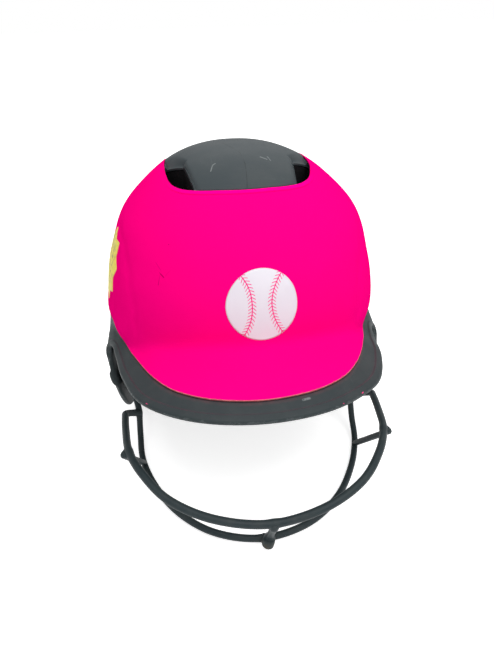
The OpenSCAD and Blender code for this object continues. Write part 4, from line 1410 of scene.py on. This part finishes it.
# face guard: points of its wires on the wearer's left, from the middle outward, in mm
guard = {
    "upper": [(0, -188.5, 37), (32, -183.5, 39.5), (58, -171.5, 45), (74.5, -153, 49), (85.5, -130, 47),
              (91, -104, 42), (94, -84, 38), (94.5, -76.5, 34.5)],
    "lower": [(0, -172.5, 2.6), (30.5, -166, 4), (54.5, -148, 5), (71.5, -122, 4), (82, -95.5, 4),
              (84.5, -76, 11), (84.5, -66.5, 26), (86.5, -62, 33)],
    "upperRadius": 2.8,
    "lowerRadius": 2.5,
    "crossRadius": 2.3,
    "centreRadius": 2.25,
    "foot": 3.95,
    "sway": -2.6,  # the lower bar has been knocked toward the wearer's right
    "touch": 0.1,
    "nubOut": 4.2,  # how far out of the upper bar's axis the cross bars end
    "sides": 20,
    "steps": 14,
    "fillet": (0.35, 3.2),  # how much a weld thickens the wire, and how far that reaches
    "slim": 0.93,  # drawn wires are a little slimmer than their nominal size
    "coat": rgb(40, 49, 53),
}
fixings = {
    "places": {"jaw": (87.2, 1.655), "temple": (81.6, 1.42)},
    "plateGap": 0.4,
    "plate": 3,
    "plateHalf": 6,
    "reach": 12,
    "sleeve": 1.8,
    "slack": 0.5,
    "shank": 2,
    "head": 5,
    "flange": 5,
    "nutRadius": 3.5,
    "nutHeight": 3.6,
}


def fixFrame(spot):
    # the place on the skin, and the directions down, back and out of it
    p, v = spot
    out = skinOut(np.array(float(p)), np.array(float(v)))
    b, c = math.acos(out[2]), math.atan2(out[1], out[0])
    down = np.array([math.cos(b) * math.cos(c), math.cos(b) * math.sin(c), -math.sin(b)])
    back = np.array([-math.sin(c), math.cos(c), 0])
    return skinAt(np.array(float(p)), np.array(float(v))), down, back, out


def fromFix(spot, side, points):
    # points given down, back and out from a fixing
    place, down, back, out = fixFrame(spot)
    q = np.asarray(points, float)
    q = place + q[..., :1] * down + q[..., 1:2] * back + q[..., 2:] * out
    return q * [side, 1, 1]


wireDepth = skin["wall"] + fixings["plateGap"] + fixings["sleeve"] + fixings["slack"] + guard["lowerRadius"]


def knocked(s, q):
    return np.array([q[0] + s["sway"] * min(max((44 - q[2]) / 20, 0), 1), q[1], max(q[2], s["lowerRadius"])])


def lowerAt(s, side, i):
    x, y, z = s["lower"][i]
    return knocked(s, (side * x, y, z))


def upperAt(s, side, i):
    x, y, z = s["upper"][i]
    return np.array([side * x, y, z], float)


def strandAt(side, name, d):
    return fromFix(fixings["places"][name], side, [d, -fixings["reach"], -wireDepth])


def smoothPath(points, steps):
    q = np.array(points, float)
    q = np.vstack([2 * q[0] - q[1], q, 2 * q[-1] - q[-2]])
    out = []
    for i in range(1, len(q) - 2):
        a, b, c, d = q[i - 1:i + 3]
        for u in np.arange(steps) / steps:
            out.append(0.5 * (2 * b + (c - a) * u + (2 * a - 5 * b + 4 * c - d) * u ** 2
                              + (3 * b - a - 3 * c + d) * u ** 3))
    return np.array(out + [q[-2]])


def evenPath(path, gap, soften=3):
    # the same path in even steps, with its corners a little softened
    run = np.concatenate([[0], np.cumsum(np.linalg.norm(np.diff(path, axis=0), axis=1))])
    at = np.linspace(0, run[-1], max(int(run[-1] / gap), 4) + 1)
    path = np.stack([np.interp(at, run, path[:, k]) for k in range(3)], -1)
    for _ in range(soften):
        path[1:-1] = path[1:-1] * 0.5 + (path[:-2] + path[2:]) * 0.25
    return path


def flared(path, radius, spots, fillet):
    # the wire thickens where it is welded
    grow, spread = fillet
    radii = np.full(len(path), float(radius))
    for spot in spots:
        radii += grow * np.exp(-(np.linalg.norm(path - spot, axis=1) / spread) ** 2)
    return radii


def weldBridge(a, b, waist, foot, sides=14):
    # the fillet that joins two wires that pass each other
    t = np.linspace(0, 1, 11)[:, None]
    path = a + (b - a) * t
    radii = waist + (foot - waist) * (2 * t[:, 0] - 1) ** 2
    return sweepTube(path, radii, sides, (0.2, 0.3, 1))


def alongUpper(s, side):
    return unit(upperAt(s, side, 5) - upperAt(s, side, 3))


def aside(s, side):
    # the way out of the upper bar on which its cross bar passes
    low = lowerAt(s, side, 4) * 0.86 + lowerAt(s, side, 3) * 0.14
    return unit(np.cross(alongUpper(s, side), unit(upperAt(s, side, 4) - low))) * side


def makeGuard(s):
    made = {}
    lowerSide, upperSide, butts, crosses = {}, {}, {}, {}
    for side in (1, -1):
        lowerSide[side] = [lowerAt(s, side, i) for i in range(len(s["lower"]))] + [
            strandAt(side, "jaw", fixings["plateHalf"] + 1)]
        butts[side] = lowerAt(s, side, 6)
        upperSide[side] = [upperAt(s, side, i) for i in range(len(s["upper"]))] + [butts[side]]
        low = lowerAt(s, side, 4) * 0.86 + lowerAt(s, side, 3) * 0.14
        high = upperAt(s, side, 4)
        meet = high + aside(s, side) * (s["upperRadius"] + s["crossRadius"] + s["touch"])
        crosses[side] = (low, high, meet)
    beyond = fixings["plateHalf"] + 1
    spots = (("jaw", -beyond), ("temple", beyond), ("temple", -beyond))
    strands = {side: [strandAt(side, name, along) for name, along in spots] for side in (1, -1)}
    middle = smoothPath(lowerSide[-1][:0:-1] + lowerSide[1], s["steps"])
    lower = evenPath(np.vstack([strands[-1][::-1], middle, strands[1]]), 1.6)
    upper = evenPath(smoothPath(upperSide[-1][:0:-1] + upperSide[1], s["steps"]), 1.6)
    chin = lowerAt(s, 1, 0)
    r = s["centreRadius"]
    front = chin[1] - s["lowerRadius"] - s["touch"]
    topY, topZ = s["upper"][0][1], s["upper"][0][2]
    centre = [(1.6, topY, topZ - 0.5), (1.5, topY, topZ - 4), (0.9, front - r - 1.1, chin[2] + 10.5),
              (0, front - r - 1.2, chin[2] + 5.6), (-0.7, front - r - 1.3, chin[2] + 2.4)]
    centre = evenPath(smoothPath(centre, 8), 0.8, 1)
    hub = np.array([0.1, front - r - 0.6, chin[2] + 3.4])
    radii = flared(lower, s["lowerRadius"] * s["slim"], [butts[1], butts[-1], chin], s["fillet"])
    path, radii = roundEnds(lower, radii)
    made["guard_lower_bar"] = [sweepTube(path, radii, s["sides"], (0, 1, 0))]
    welds = [crosses[1][1], crosses[-1][1], centre[0]]
    radii = flared(upper, s["upperRadius"] * s["slim"], welds, s["fillet"])
    radii += flared(upper, 0, [butts[1], butts[-1]], (0.9, 3.2))
    made["guard_upper_bar"] = [sweepTube(upper, radii, s["sides"])]
    for side, name in ((1, "guard_cross_bar_left"), (-1, "guard_cross_bar_right")):
        low, high, meet = crosses[side]
        ahead = unit(meet - low)
        meet = high + aside(s, side) * s["nubOut"]
        path = evenPath(np.array([low + ahead * 1.2, meet]), 1.0, 0)
        thinner = 0.3 * smoothStep(0.86, 1, np.linspace(0, 1, len(path)))
        radii = flared(path, s["crossRadius"] - 0.1, [low], (-0.35, 2.2)) - thinner
        path, radii = roundEnds(path, radii, near=False)
        # a web runs along the upper bar on both sides of the nub
        run = np.linspace(-7, 7, 25)[:, None]
        out = s["nubOut"] * np.exp(-(run / 3.0) ** 2)
        web = high + alongUpper(s, side) * run + aside(s, side) * out
        made[name] = [sweepTube(path, radii, s["sides"], (0, 1, 0)),
                      sweepTube(web, 1.7 + 0.3 * np.exp(-(run[:, 0] / 3.0) ** 2), 14, (0.2, 0.3, 1))]
    run = np.arange(len(centre)) * np.linalg.norm(centre[1] - centre[0])
    wider = (s["foot"] - r) * smoothStep(run[-1] - 9, run[-1] - 3.5, run)
    radii = r + wider + 1.1 * np.exp(-(run / 3.4) ** 2)
    # a blunt foot: its end turns in quickly
    turn = np.linspace(0, math.pi / 2, 7)[1:]
    ahead = unit(centre[-1] - centre[-2])
    tip = centre[-1] + ahead * (1.5 * np.sin(turn))[:, None]
    radii = np.concatenate([radii, radii[-1] * np.maximum(np.cos(turn), 0.02) ** 0.55])
    made["guard_centre_bar"] = [sweepTube(np.vstack([centre, tip]), radii, 24, (0, 1, 0)),
                                weldBridge(chin, hub, 2.4, 3.2)]
    return made


def wireFinish(s):
    m, tree, shader, here = newMaterial("dippedWire", 0.42, 0.16)
    grain = useGroup(tree, mouldGrain, Vector=here, Grain=900.0, Mottle=55.0)
    base = mixColour(tree, grain["Shade"], s["coat"], rgb(50, 60, 62))
    # an olive-brown patch on the foot of the centre bar, partly worn coating and partly a painted sheen, and
    # scuffs on the front of the wires
    y = s["lower"][0][1]
    middle = ((s["sway"] - 0.2) * mm + 0.002, (y - 9) * mm, 0.001)
    foot = vectorCalc(tree, "LENGTH", vectorCalc(tree, "SUBTRACT", here, middle))
    around = step(tree, foot, 0.0105, 0.004)
    rubAndSheen = calc(tree, "MULTIPLY", around, step(tree, noise(tree, here, 320.0, 4.0, 0.6), 0.35, 0.6))
    base = mixColour(tree, calc(tree, "MULTIPLY", rubAndSheen, 0.7), base, rgb(78, 70, 52))
    hair = useGroup(tree, hairScratches, Vector=here, Amount=0.6)["Mask"]
    base = mixColour(tree, calc(tree, "MULTIPLY", hair, 0.25), base, rgb(96, 106, 108))
    specks = useGroup(tree, dust, Vector=here, Scale=60.0, Amount=0.06)["Mask"]
    base = mixColour(tree, specks, base, rgb(150, 145, 135))
    tree.links.new(base, shader.inputs["Base Color"])
    put(tree, shader.inputs["Roughness"], calc(tree, "ADD", 0.4, calc(tree, "MULTIPLY", grain["Shade"], 0.2)))
    addBump(tree, shader, grain["Shade"], 0.0002, 0.5)
    return m


wireCoat = wireFinish(guard)
for name, shapes in makeGuard(guard).items():
    piece = meshPiece(name + "_wire", *joinShapes(shapes))
    piece.data.materials.append(wireCoat)
    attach(piece, "root")
    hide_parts(name)
print("guard built")


# clips that hold the lower bar's ends inside the flaps, with their screws and nuts
def clipOutline(s):
    # section of a clip, back and out
    top, low = -skin["wall"] - s["plateGap"], -skin["wall"] - s["plateGap"] - s["plate"]
    radius = guard["lowerRadius"] + s["slack"] + s["sleeve"]
    y, z = -s["reach"], -wireDepth
    out = [(s["plateHalf"] - 1.2 + 1.2 * math.sin(a), top - 1.2 + 1.2 * math.cos(a))
           for a in np.linspace(0, math.pi / 2, 5)]
    out += [(s["plateHalf"] - 1.2 + 1.2 * math.cos(a), low + 1.2 - 1.2 * math.sin(a))
            for a in np.linspace(0, math.pi / 2, 5)[1:]]
    # a soft inner corner, then round the wire
    start = math.asin((low - 0.9 - z) / radius)
    y0 = y + radius * math.cos(start)
    out += [(y0 + 2.2, low), (y0 + 1.1, low - 0.15), (y0 + 0.4, low - 0.4)]
    out += [(y + radius * math.cos(a), z + radius * math.sin(a))
            for a in np.linspace(start, -1.5 * math.pi, 40)]
    return out


def wrapPiece(name, verts, faces, side, node, material, sharp=None):
    # a piece whose points are in place; one on the right is a mirror image, so its faces are turned
    if side < 0:
        faces = [tuple(f[::-1]) for f in faces]
    piece = meshPiece(name, verts, faces)
    if sharp:
        piece.data.set_sharp_from_angle(angle=math.radians(sharp))
    return dressPiece(piece, node, material)


def dressPiece(piece, node, material):
    piece.data.materials.clear()
    piece.data.materials.append(material)
    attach(piece, "root")
    if node:
        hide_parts(node)
    return piece


def makeClip(s, name, side, material):
    outline = clipOutline(s)
    half = s["plateHalf"]
    body = prism(name, outline, -half, half, "x")
    y, z, bore = -s["reach"], -wireDepth, guard["lowerRadius"] + s["slack"]
    circle = [(y + bore * math.cos(a), z + bore * math.sin(a)) for a in np.arange(32) * math.pi / 16]
    holes = [prism("bore", circle, -half - 2, half + 2, "x")]
    ring = [(s["shank"] + 0.25) * np.array([math.cos(a), math.sin(a)]) for a in np.arange(24) * math.pi / 12]
    holes.append(prism("screwHole", ring, -skin["wall"] - s["plateGap"] - s["plate"] - 3, -1, "z"))
    cutAway(body, holes, 30)
    soft = body.modifiers.new("soft", "BEVEL")
    soft.width = 0.45 * mm
    soft.segments = 3
    soft.limit_method = "ANGLE"
    soft.angle_limit = math.radians(50)
    bakeModifiers(body)
    verts = fromFix(s["places"][name.split("_")[0]], side, pointsOf(body))
    faces = [tuple(f.vertices) for f in body.data.polygons]
    bpy.data.objects.remove(body)
    return wrapPiece(name + "_moulding", verts, faces, side, name, material, 40)


def lathe(profile, sides, radiusAt=None):
    # points and faces from a profile of radius and height; radiusAt may change the radius by angle and height
    n = len(profile)
    verts, faces = [], []
    for k in range(sides):
        a = 2 * math.pi * k / sides
        for r, z in profile:
            q = r if radiusAt is None else radiusAt(a, r, z)
            verts.append((q * math.cos(a), q * math.sin(a), z))
    for k in range(sides):
        a, b = k * n, (k + 1) % sides * n
        faces += [(a + i, b + i, b + i + 1, a + i + 1) for i in range(n - 1)]
    return verts, faces


def makeScrew(s, side, spot):
    # a pan head with a cross recess, on a threaded shank
    head = s["head"]
    cap = [(head - 0.35, 0.2), (head, 0.4), (head - 0.08, 0.68), (head - 0.5, 1.02), (head - 1.2, 1.32),
           (head - 2.2, 1.54), (head - 3.4, 1.64), (0.02, 1.65)]
    rows = np.linspace(-11.2, 0.1, 80)
    shank = [(0.02, -11.3), (1.5, -11.28)] + [(s["shank"], float(z)) for z in rows] + [(s["shank"], 0.22)]

    def thread(a, r, z):
        if r < s["shank"] or z > -5:
            return r
        return r - 0.28 * abs(((z / 0.7 - a / (2 * math.pi)) % 1) * 2 - 1)
    verts, faces = lathe(shank + cap, 40, thread)
    low, high, n = len(verts), len(verts) + 1, len(shank + cap)
    verts += [(0, 0, -11.3), (0, 0, 1.65)]
    faces += [(low, (k + 1) % 40 * n, k * n) for k in range(40)]
    faces += [(high, k * n + n - 1, (k + 1) % 40 * n + n - 1) for k in range(40)]
    body = meshPiece("screw", verts, faces)
    slot = []
    for turn in (0, math.pi / 2):
        arm = [(math.cos(turn) * x - math.sin(turn) * y, math.sin(turn) * x + math.cos(turn) * y)
               for x, y in softCorners([(-2.6, -0.55), (2.6, -0.55), (2.6, 0.55), (-2.6, 0.55)], 0.35)]
        slot.append(prism("recess", arm, 0.6, 4, "z"))
    cutAway(body, slot, 35)
    verts = fromFix(spot, side, pointsOf(body))
    faces = [tuple(f.vertices) for f in body.data.polygons]
    bpy.data.objects.remove(body)
    return verts, [f[::-1] for f in faces] if side < 0 else faces


def makeNut(s, side, spot):
    # a flanged hexagon nut
    seat = -skin["wall"] - s["plateGap"] - s["plate"] - 0.1
    f, h, bore = s["flange"], s["nutHeight"], s["shank"] + 0.1
    hexagon = s["nutRadius"] * math.cos(math.pi / 6)
    profile = [(bore, 0), (f - 0.3, 0), (f, 0.3), (f - 0.1, 0.7), (f - 0.6, 1), (9, 1.02), (9, 1.1)]
    profile += [(9, float(z)) for z in np.linspace(1.3, h - 0.5, 5)]
    profile += [(9, h - 0.3), (9, h - 0.1), (9, h), (bore + 0.5, h), (bore, h - 0.5), (bore, 0)]

    def shape(a, r, z):
        if r < 9:
            return r
        side6 = hexagon / math.cos((a % (math.pi / 3)) - math.pi / 6)
        return min(side6, s["nutRadius"] - 0.05 - max(z - (h - 0.55), 0) * 1.1)
    verts, faces = lathe(profile, 72, shape)
    verts = [(x, y, seat - z) for x, y, z in verts]
    q = fromFix(spot, side, verts)
    return q, [g[::-1] for g in faces] if side > 0 else faces


def clipFinish():
    m, tree, shader, here = newMaterial("clipPlastic", 0.5, 0.3)
    grain = useGroup(tree, mouldGrain, Vector=here, Grain=2600.0, Mottle=120.0)
    base = mixColour(tree, grain["Shade"], rgb(24, 25, 27), rgb(36, 37, 40))
    hair = useGroup(tree, hairScratches, Vector=here, Amount=0.5)["Mask"]
    base = mixColour(tree, calc(tree, "MULTIPLY", hair, 0.3), base, rgb(90, 92, 94))
    tree.links.new(base, shader.inputs["Base Color"])
    addBump(tree, shader, grain["Height"], 0.00004, 0.6)
    return m


def steelFinish(name, colour, dark, roughness):
    m, tree, shader, here = newMaterial(name, roughness, 0.5)
    shader.inputs["Metallic"].default_value = 1.0
    grain = useGroup(tree, mouldGrain, Vector=here, Grain=1800.0, Mottle=260.0)
    base = mixColour(tree, grain["Shade"], colour, dark)
    spots = step(tree, noise(tree, here, 500.0, 4.0, 0.7), 0.62, 0.72)
    base = mixColour(tree, calc(tree, "MULTIPLY", spots, 0.5), base, rgb(92, 66, 46))
    tree.links.new(base, shader.inputs["Base Color"])
    put(tree, shader.inputs["Roughness"], calc(tree, "ADD", roughness, calc(tree, "MULTIPLY", spots, 0.3)))
    addBump(tree, shader, grain["Height"], 0.00004, 0.5)
    return m


clipPlastic = clipFinish()
screwSteel = steelFinish("screwSteel", rgb(120, 122, 124), rgb(84, 86, 88), 0.35)
nutSteel = steelFinish("nutSteel", rgb(165, 164, 158), rgb(120, 118, 112), 0.3)
for name, spot in fixings["places"].items():
    for side, word in ((1, "left"), (-1, "right")):
        makeClip(fixings, name + "_clip_" + word, side, clipPlastic)
    both = [makeScrew(fixings, side, spot) for side in (1, -1)]
    piece = meshPiece(name + "_screw_pair", *joinShapes(both))
    piece.data.set_sharp_from_angle(angle=math.radians(35))
    dressPiece(piece, name + "_screws", screwSteel)
    both = [makeNut(fixings, side, spot) for side in (1, -1)]
    piece = meshPiece(name + "_nut_pair", *joinShapes(both))
    piece.data.set_sharp_from_angle(angle=math.radians(35))
    dressPiece(piece, name + "_nuts", nutSteel)
print("fixings built")

# stickers on the cover: a plain ball at the brow and a torn yellow safety label at the right temple
stickers = {
    "thick": 0.14,
    "ball": {"middle": (5.5, -112, 139.5), "radius": 22, "steps": 22, "arc": 30, "arcShift": 36,
             "white": rgb(226, 223, 230)},
    "label": {"middle": (-96.0, -28.0, 138.0), "radius": 27, "inner": 21.5, "points": 9, "turn": 12,
              "steps": 16,
              "yellow": rgb(232, 214, 52)},
}


def onCover(middle, outline, steps, thick, name):
    # a thin sticker: rings from its middle out to its outline, laid on the cover
    tree = BVHTree.FromObject(coverPiece, bpy.context.evaluated_depsgraph_get())
    hit, normal = tree.find_nearest(Vector(middle) * mm)[:2]
    out = np.array(normal)
    right = unit(np.cross([0, 0, 1], out))
    up = np.cross(out, right)
    rings = [0.0] + list(np.linspace(1 / steps, 1, steps - 1) ** 0.9) + [1.0]
    n = len(outline)
    flat, top, low = [], [], []
    for k, t in enumerate(rings):
        lift = thick if k < len(rings) - 1 else 0.0
        count = 1 if k == 0 else n
        for i in range(count):
            a, b = np.array(outline[i]) * t
            start = np.array(hit) + (right * a + up * b) * mm + out * 0.03
            spot, face = tree.ray_cast(Vector(start), Vector(-out))[:2]
            top.append(np.array(spot) / mm + np.array(face) * (lift + 0.02))
            low.append(np.array(spot) / mm - np.array(face) * 0.1)
            flat.append((a, b, t))
    faces = [(0, 1 + i, 1 + (i + 1) % n) for i in range(n)]
    for k in range(len(rings) - 2):
        a, b = 1 + k * n, 1 + (k + 1) * n
        faces += [(a + i, b + i, b + (i + 1) % n, a + (i + 1) % n) for i in range(n)]
    # the underside is a copy turned over, joined at the rim
    base = len(top)
    faces += [tuple(base + q for q in f[::-1]) for f in faces]
    rim = base - n
    faces += [(rim + i, base + rim + i, base + rim + (i + 1) % n, rim + (i + 1) % n) for i in range(n)]
    piece = meshPiece(name, top + low, faces)
    setAttribute(piece, "flatAt", np.array(flat + flat))
    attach(piece, "root")
    return piece


def ballFinish(s):
    m, tree, shader, here = newMaterial("ballSticker", 0.3, 0.35)
    at = attribute(tree, "flatAt")["Vector"]
    part = tree.nodes.new("ShaderNodeSeparateXYZ")
    put(tree, part.inputs[0], at)
    mark = 0.0
    for sign in (1, -1):
        # a seam arc on each side, with short stitches across it
        off = vectorCalc(tree, "SUBTRACT", at, (sign * s["arcShift"], 0.0, 0.0))
        flat = vectorCalc(tree, "MULTIPLY", off, (1.0, 1.0, 0.0))
        away = calc(tree, "SUBTRACT", vectorCalc(tree, "LENGTH", flat), s["arc"])
        here2 = tree.nodes.new("ShaderNodeSeparateXYZ")
        put(tree, here2.inputs[0], flat)
        acrossBall = calc(tree, "MULTIPLY", here2.outputs["X"], -float(sign))
        angle = calc(tree, "ARCTAN2", here2.outputs["Y"], acrossBall)
        slant = calc(tree, "MULTIPLY", calc(tree, "ABSOLUTE", away), 0.35)
        lean = calc(tree, "ADD", calc(tree, "MULTIPLY", angle, 14.0), slant)
        saw = calc(tree, "FRACT", calc(tree, "ADD", lean, 50.0))
        wave = calc(tree, "ABSOLUTE", calc(tree, "SUBTRACT", saw, 0.5))
        near = step(tree, calc(tree, "ABSOLUTE", away), 2.6, 2.3)
        stitch = calc(tree, "MULTIPLY", step(tree, wave, 0.17, 0.1), near)
        line = step(tree, calc(tree, "ABSOLUTE", away), 0.42, 0.25)
        mark = calc(tree, "MAXIMUM", mark, calc(tree, "MAXIMUM", stitch, line))
    shade = noise(tree, here, 45.0, 3.0, 0.6)
    base = mixColour(tree, calc(tree, "MULTIPLY", shade, 0.5), s["white"], rgb(214, 206, 220))
    base = mixColour(tree, mark, base, rgb(236, 30, 130))
    rim = step(tree, part.outputs["Z"], 0.972, 0.985)
    base = mixColour(tree, calc(tree, "MULTIPLY", rim, 0.35), base, rgb(176, 160, 176))
    hair = useGroup(tree, hairScratches, Vector=here, Amount=0.4)["Mask"]
    base = mixColour(tree, calc(tree, "MULTIPLY", hair, 0.25), base, rgb(190, 184, 196))
    tree.links.new(base, shader.inputs["Base Color"])
    return m


def labelFinish(s):
    m, tree, shader, here = newMaterial("yellowLabel", 0.5, 0.3)
    at = attribute(tree, "flatAt")["Vector"]
    part = tree.nodes.new("ShaderNodeSeparateXYZ")
    put(tree, part.inputs[0], at)
    # rubbed grey-green patches and a few plain printed bars
    smudge = step(tree, noise(tree, here, 150.0, 5.0, 0.65), 0.5, 0.64)
    base = mixColour(tree, calc(tree, "MULTIPLY", smudge, 0.5), s["yellow"], rgb(160, 156, 60))
    stainAndHemShade = step(tree, noise(tree, here, 420.0, 4.0, 0.7), 0.56, 0.66)
    base = mixColour(tree, calc(tree, "MULTIPLY", stainAndHemShade, 0.4), base, rgb(84, 92, 62))
    bars = step(tree, calc(tree, "ABSOLUTE", calc(tree, "SUBTRACT", calc(tree, "FRACT", calc(
        tree, "MULTIPLY", part.outputs["Y"], 0.2)), 0.5)), 0.16, 0.12)
    bars = calc(tree, "MULTIPLY", bars, step(tree, part.outputs["Z"], 0.62, 0.56))
    bars = calc(tree, "MULTIPLY", bars, step(tree, noise(tree, here, 300.0, 3.0, 0.6), 0.42, 0.55))
    base = mixColour(tree, calc(tree, "MULTIPLY", bars, 0.6), base, rgb(40, 44, 36))
    edge = step(tree, part.outputs["Z"], 0.955, 0.985)
    base = mixColour(tree, calc(tree, "MULTIPLY", edge, 0.55), base, rgb(206, 176, 130))
    tree.links.new(base, shader.inputs["Base Color"])
    addBump(tree, shader, smudge, 0.00008, 0.4)
    return m


ball, label = stickers["ball"], stickers["label"]
circle = [(ball["radius"] * math.cos(a), ball["radius"] * math.sin(a)) for a in np.arange(96) * math.pi / 48]
ballPiece = onCover(ball["middle"], circle, ball["steps"], stickers["thick"], "ball_sticker")
ballPiece.data.materials.append(ballFinish(ball))
burst = []
for k in range(label["points"] * 2):
    a = math.radians(label["turn"]) + k * math.pi / label["points"]
    r = label["radius"] if k % 2 == 0 else label["inner"]
    burst.append((r * math.cos(a), r * math.sin(a)))
burst = [tuple(q) for q in softCorners(burst, 1.2, 6)]
labelPiece = onCover(label["middle"], burst, label["steps"], stickers["thick"], "yellow_label")
labelPiece.data.materials.append(labelFinish(label))
print("stickers placed")

# small sideways shifts that fit the dressed pieces to the photograph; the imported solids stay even
lean = {
    # mm to the wearer's left, the side it holds for (0 is both), then the heights and the depths
    # between which it comes and goes
    "rightFlap": (-1.9, -1, (48, 88, 98, 121), (-112, -62, -10, 60)),
    "leftFlap": (-1.9, 1, (58, 86, 93, 110), (-112, -62, -10, 60)),
    "crown": (1.0, 0, (138, 156, 188, 206), (-900, -800, 800, 900)),
    "feet": (1.5, 0, (-20, -10, 10, 26), (-36, -16, 40, 70)),
}


def leanOf(s, q):
    total = np.zeros(len(q))
    for amount, side, (a, b, c, d), (e, f, g, h) in s.values():
        here = smoothStep(a, b, q[:, 2]) * (1 - smoothStep(c, d, q[:, 2]))
        if side:
            here = here * smoothStep(10, 70, side * q[:, 0])
        total += amount * here * smoothStep(e, f, q[:, 1]) * (1 - smoothStep(g, h, q[:, 1]))
    return total


for piece in [o for o in bpy.context.scene.objects if o.type == "MESH" and o.name not in cadNames]:
    q = pointsOf(piece)
    q[:, 0] += leanOf(lean, q)
    putPoints(piece, q)
print("pieces leaned")

# stage: a pale floor, an even pale surround and soft lamps
stage = {
    "floorColour": (0.9, 0.9, 0.9),
    "floorHeight": -0.1,
    "floorSize": 60,
    "floorGlow": 0.7,  # what the camera sees added to the floor
    "surround": 0.45,
}


def addFloor(s):
    h = s["floorSize"] / 2
    data = bpy.data.meshes.new("floor")
    z = s["floorHeight"] * mm
    data.from_pydata([(-h, -h, z), (h, -h, z), (h, h, z), (-h, h, z)], [], [(0, 1, 2, 3)])
    floor = bpy.data.objects.new("floor", data)
    bpy.context.collection.objects.link(floor)
    m = bpy.data.materials.new("paleFloor")
    m.use_nodes = True
    t = m.node_tree
    t.nodes.clear()
    out = t.nodes.new("ShaderNodeOutputMaterial")
    matte = t.nodes.new("ShaderNodeBsdfDiffuse")
    matte.inputs["Color"].default_value = (*s["floorColour"], 1)
    glow = t.nodes.new("ShaderNodeEmission")
    path = t.nodes.new("ShaderNodeLightPath")
    seen = calc(t, "MAXIMUM", path.outputs["Is Camera Ray"], path.outputs["Is Glossy Ray"])
    put(t, glow.inputs["Strength"], calc(t, "MULTIPLY", seen, s["floorGlow"]))
    both = t.nodes.new("ShaderNodeAddShader")
    t.links.new(matte.outputs[0], both.inputs[0])
    t.links.new(glow.outputs[0], both.inputs[1])
    t.links.new(both.outputs[0], out.inputs["Surface"])
    data.materials.append(m)


def addSurround(s):
    world = bpy.data.worlds.new("surround")
    bpy.context.scene.world = world
    world.use_nodes = True
    t = world.node_tree
    base = t.nodes["Background"]
    path = t.nodes.new("ShaderNodeLightPath")
    seen = calc(t, "MAXIMUM", path.outputs["Is Camera Ray"], path.outputs["Is Transmission Ray"])
    put(t, base.inputs["Strength"], step(t, seen, 0.0, 1.0, s["surround"], 1.0))
    base.inputs["Color"].default_value = (1, 1, 1, 1)


lamps = {
    # name: place in m, size in m, power in W
    "top": ((0.15, -0.35, 1.5), 1.3, 17),
    "key": ((0.6, -1.2, 1.2), 1.2, 6),
    "back": ((0.2, 1.2, 1.1), 1.2, 5),
}


def addLamp(name, place, size, power, aim=(0, -0.02, 0.1)):
    data = bpy.data.lights.new(name, "AREA")
    data.size = size
    data.energy = power
    lamp = bpy.data.objects.new(name, data)
    bpy.context.collection.objects.link(lamp)
    lamp.location = place
    lamp.rotation_euler = (Vector(aim) - Vector(place)).to_track_quat("-Z", "Y").to_euler()


addFloor(stage)
addSurround(stage)
for lampName, (place, size, power) in lamps.items():
    addLamp(lampName, place, size, power)
bpy.context.scene.view_settings.view_transform = "Standard"
print("stage set")
